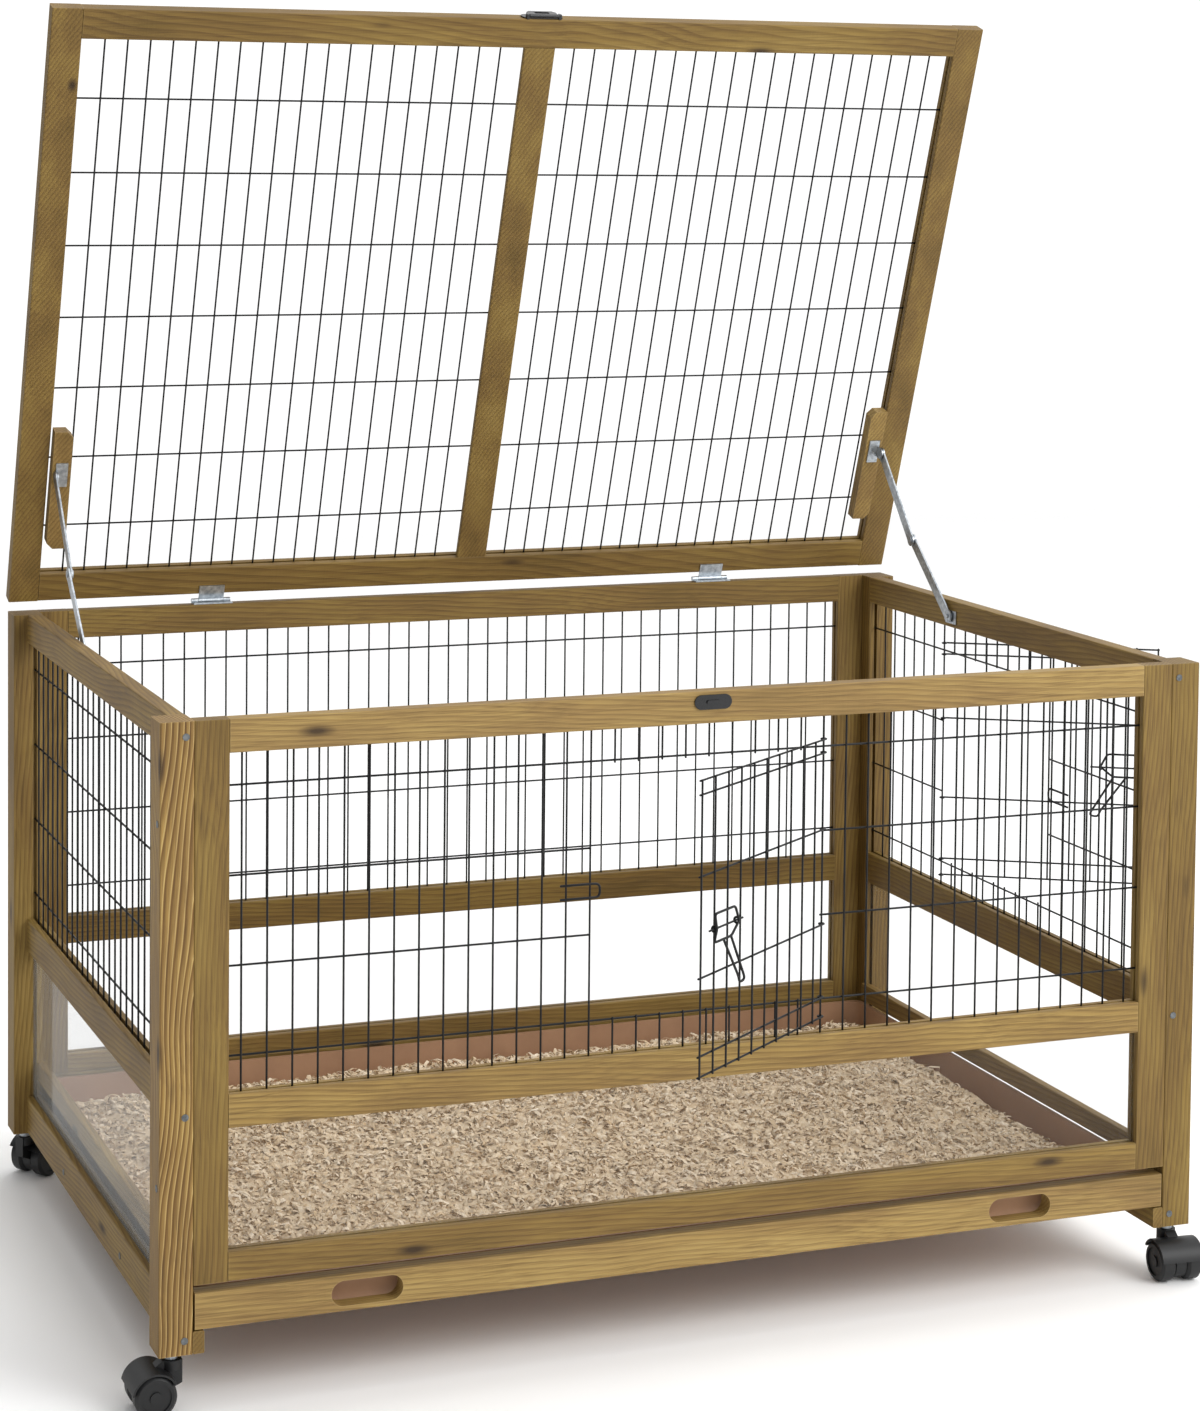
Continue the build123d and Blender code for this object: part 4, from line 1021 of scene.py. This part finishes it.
@dataclass
class Studio:
    """The pale floor, the soft lights and the camera at the photograph's viewing angle.

    Lamps have a name, a place, a size in metres and a power in watts.
    """

    camera_place: Place = (-1.2687, -3.1495, 1.2131)
    right: Place = (0.94045, -0.33985, 0.00746)
    down: Place = (-0.00934, -0.04777, -0.99882)
    ahead: Place = (0.33980, 0.93927, -0.04810)
    focal_px: float = 3024.36
    centre_px: tuple[float, float] = (472.0, 301.7)
    image_px: tuple[float, float] = (1200.0, 1411.0)
    sensor_mm: float = 36.0
    floor_reach: float = 6000.0
    floor_points: int = 9
    lamps: tuple[tuple[str, Place, float, float], ...] = (
        ("key", (2.2, -3.2, 3.0), 2.6, 95.0), ("top", (0.2, 0.6, 3.8), 3.0, 30.0))
    lamp_target: Place = (0.0, 0.0, 0.5)
    room_dark: float = 0.2
    room_bright: float = 1.8
    room_seen: float = 1.1

    def floor(self) -> None:
        """A flat sweep, 12 m across, with its top at the floor's level."""
        line = np.linspace(-self.floor_reach, self.floor_reach, self.floor_points)
        gx, gy = np.meshgrid(line, line, indexing="ij")
        points = np.stack([gx, gy, np.zeros_like(gx)], -1).reshape(-1, 3)
        faces = grid_faces(self.floor_points, self.floor_points)
        put_mesh("studio_floor", points, faces, PAPER)

    def room(self) -> None:
        """A room whose left is in shade and whose right is lit; the camera sees it white."""
        world = bpy.data.worlds.new("studio_room")
        bpy.context.scene.world = world
        world.use_nodes = True
        tree = world.node_tree
        back = tree.nodes["Background"]
        back.inputs["Color"].default_value = (1.0, 1.0, 1.0, 1.0)
        way = add_node(tree, "SeparateXYZ", {0: add_node(tree, "TexCoord").outputs["Generated"]})
        side = add_node(tree, "MapRange",
                        {"Value": way, "From Min": -1.0, "From Max": 1.0,
                         "To Min": self.room_dark, "To Max": self.room_bright})
        seen = add_node(tree, "LightPath").outputs["Is Camera Ray"]
        strength = add_node(tree, "Mix", {0: seen, 2: side, 3: self.room_seen}, data_type="FLOAT")
        tree.links.new(strength.outputs[0], back.inputs["Strength"])

    def lights(self) -> None:
        """A large soft key from the front right and a soft lamp overhead."""
        for name, place, size, power in self.lamps:
            light = bpy.data.lights.new(name, "AREA")
            light.shape = "DISK"
            light.size = size
            light.energy = power
            lamp = bpy.data.objects.new(name, light)
            bpy.context.scene.collection.objects.link(lamp)
            lamp.location = place
            aim = Vector(self.lamp_target) - Vector(place)
            lamp.rotation_euler = aim.to_track_quat("-Z", "Y").to_euler()

    def camera(self) -> None:
        """Set the camera from the view solved for the photograph."""
        data = bpy.data.cameras.new("photo_view")
        larger = max(self.image_px)
        data.sensor_fit = "AUTO"
        data.sensor_width = self.sensor_mm
        data.lens = self.focal_px / larger * self.sensor_mm
        data.shift_x = (self.image_px[0] / 2 - self.centre_px[0]) / larger
        data.shift_y = (self.centre_px[1] - self.image_px[1] / 2) / larger
        data.clip_end = 50.0
        camera = bpy.data.objects.new("photo_view", data)
        bpy.context.scene.collection.objects.link(camera)
        up, back = [-v for v in self.down], [-v for v in self.ahead]
        turn = Matrix((self.right, up, back)).transposed()
        camera.matrix_world = Matrix.Translation(self.camera_place) @ turn.to_4x4()
        bpy.context.scene.camera = camera

    def build(self) -> None:
        """Build the floor, the room, the lights and the camera."""
        self.floor()
        self.room()
        self.lights()
        self.camera()
        bpy.context.scene.view_settings.view_transform = "Standard"


def wall_panels() -> list[WirePanel]:
    """The four welded panels of the cage's walls, from their middle rails to their top rails."""
    long_wires, side_wires = 39, 25
    long_columns = (np.arange(long_wires) - long_wires // 2) * PITCH
    side_columns = FRONT_Y + FIRST_SIDE_WIRE + np.arange(side_wires) * PITCH
    long_reach, side_reach = 512.0, 338.0
    long_plane, side_plane = -FRONT_Y - TIMBER / 2, 550.0
    long_low, side_low = FOOT_Z + 244.0, FOOT_Z + 250.0
    high = FOOT_Z + 588.0
    front_doorway, side_doorway = (14, 24), (8, 18)
    return [
        WirePanel("front_mesh", "y", -long_plane, -1.0, long_columns, long_low, high, long_reach,
                  front_doorway),
        WirePanel("back_mesh", "y", long_plane, 1.0, long_columns, long_low, high, long_reach),
        WirePanel("left_mesh", "x", -side_plane, -1.0, side_columns, side_low, high, side_reach),
        WirePanel("right_mesh", "x", side_plane, 1.0, side_columns, side_low, high, side_reach,
                  side_doorway),
    ]


def wire_doors() -> list[WireDoor]:
    """The front door and the side door, which hangs a quarter turn round from it."""
    front_hinge = (5 * PITCH, FRONT_Y + 8.0)
    side_hinge = (551.0, FRONT_Y + FIRST_SIDE_WIRE + 18 * PITCH)
    return [WireDoor("front_door", "front_door_latch", front_hinge, FRONT_DOOR_OPEN_DEG),
            WireDoor("side_door", "side_door_latch", side_hinge, 90.0 + SIDE_DOOR_OPEN_DEG)]


def main() -> None:
    logging.basicConfig(level=logging.INFO)
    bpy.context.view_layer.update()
    Timber().dress()
    Fittings().dress()
    for panel in wall_panels():
        panel.build()
    StopBoard().build()
    LidPanel().build()
    for door in wire_doors():
        door.build()
    Bedding().build()
    Studio().build()


if __name__ == "__main__":
    main()
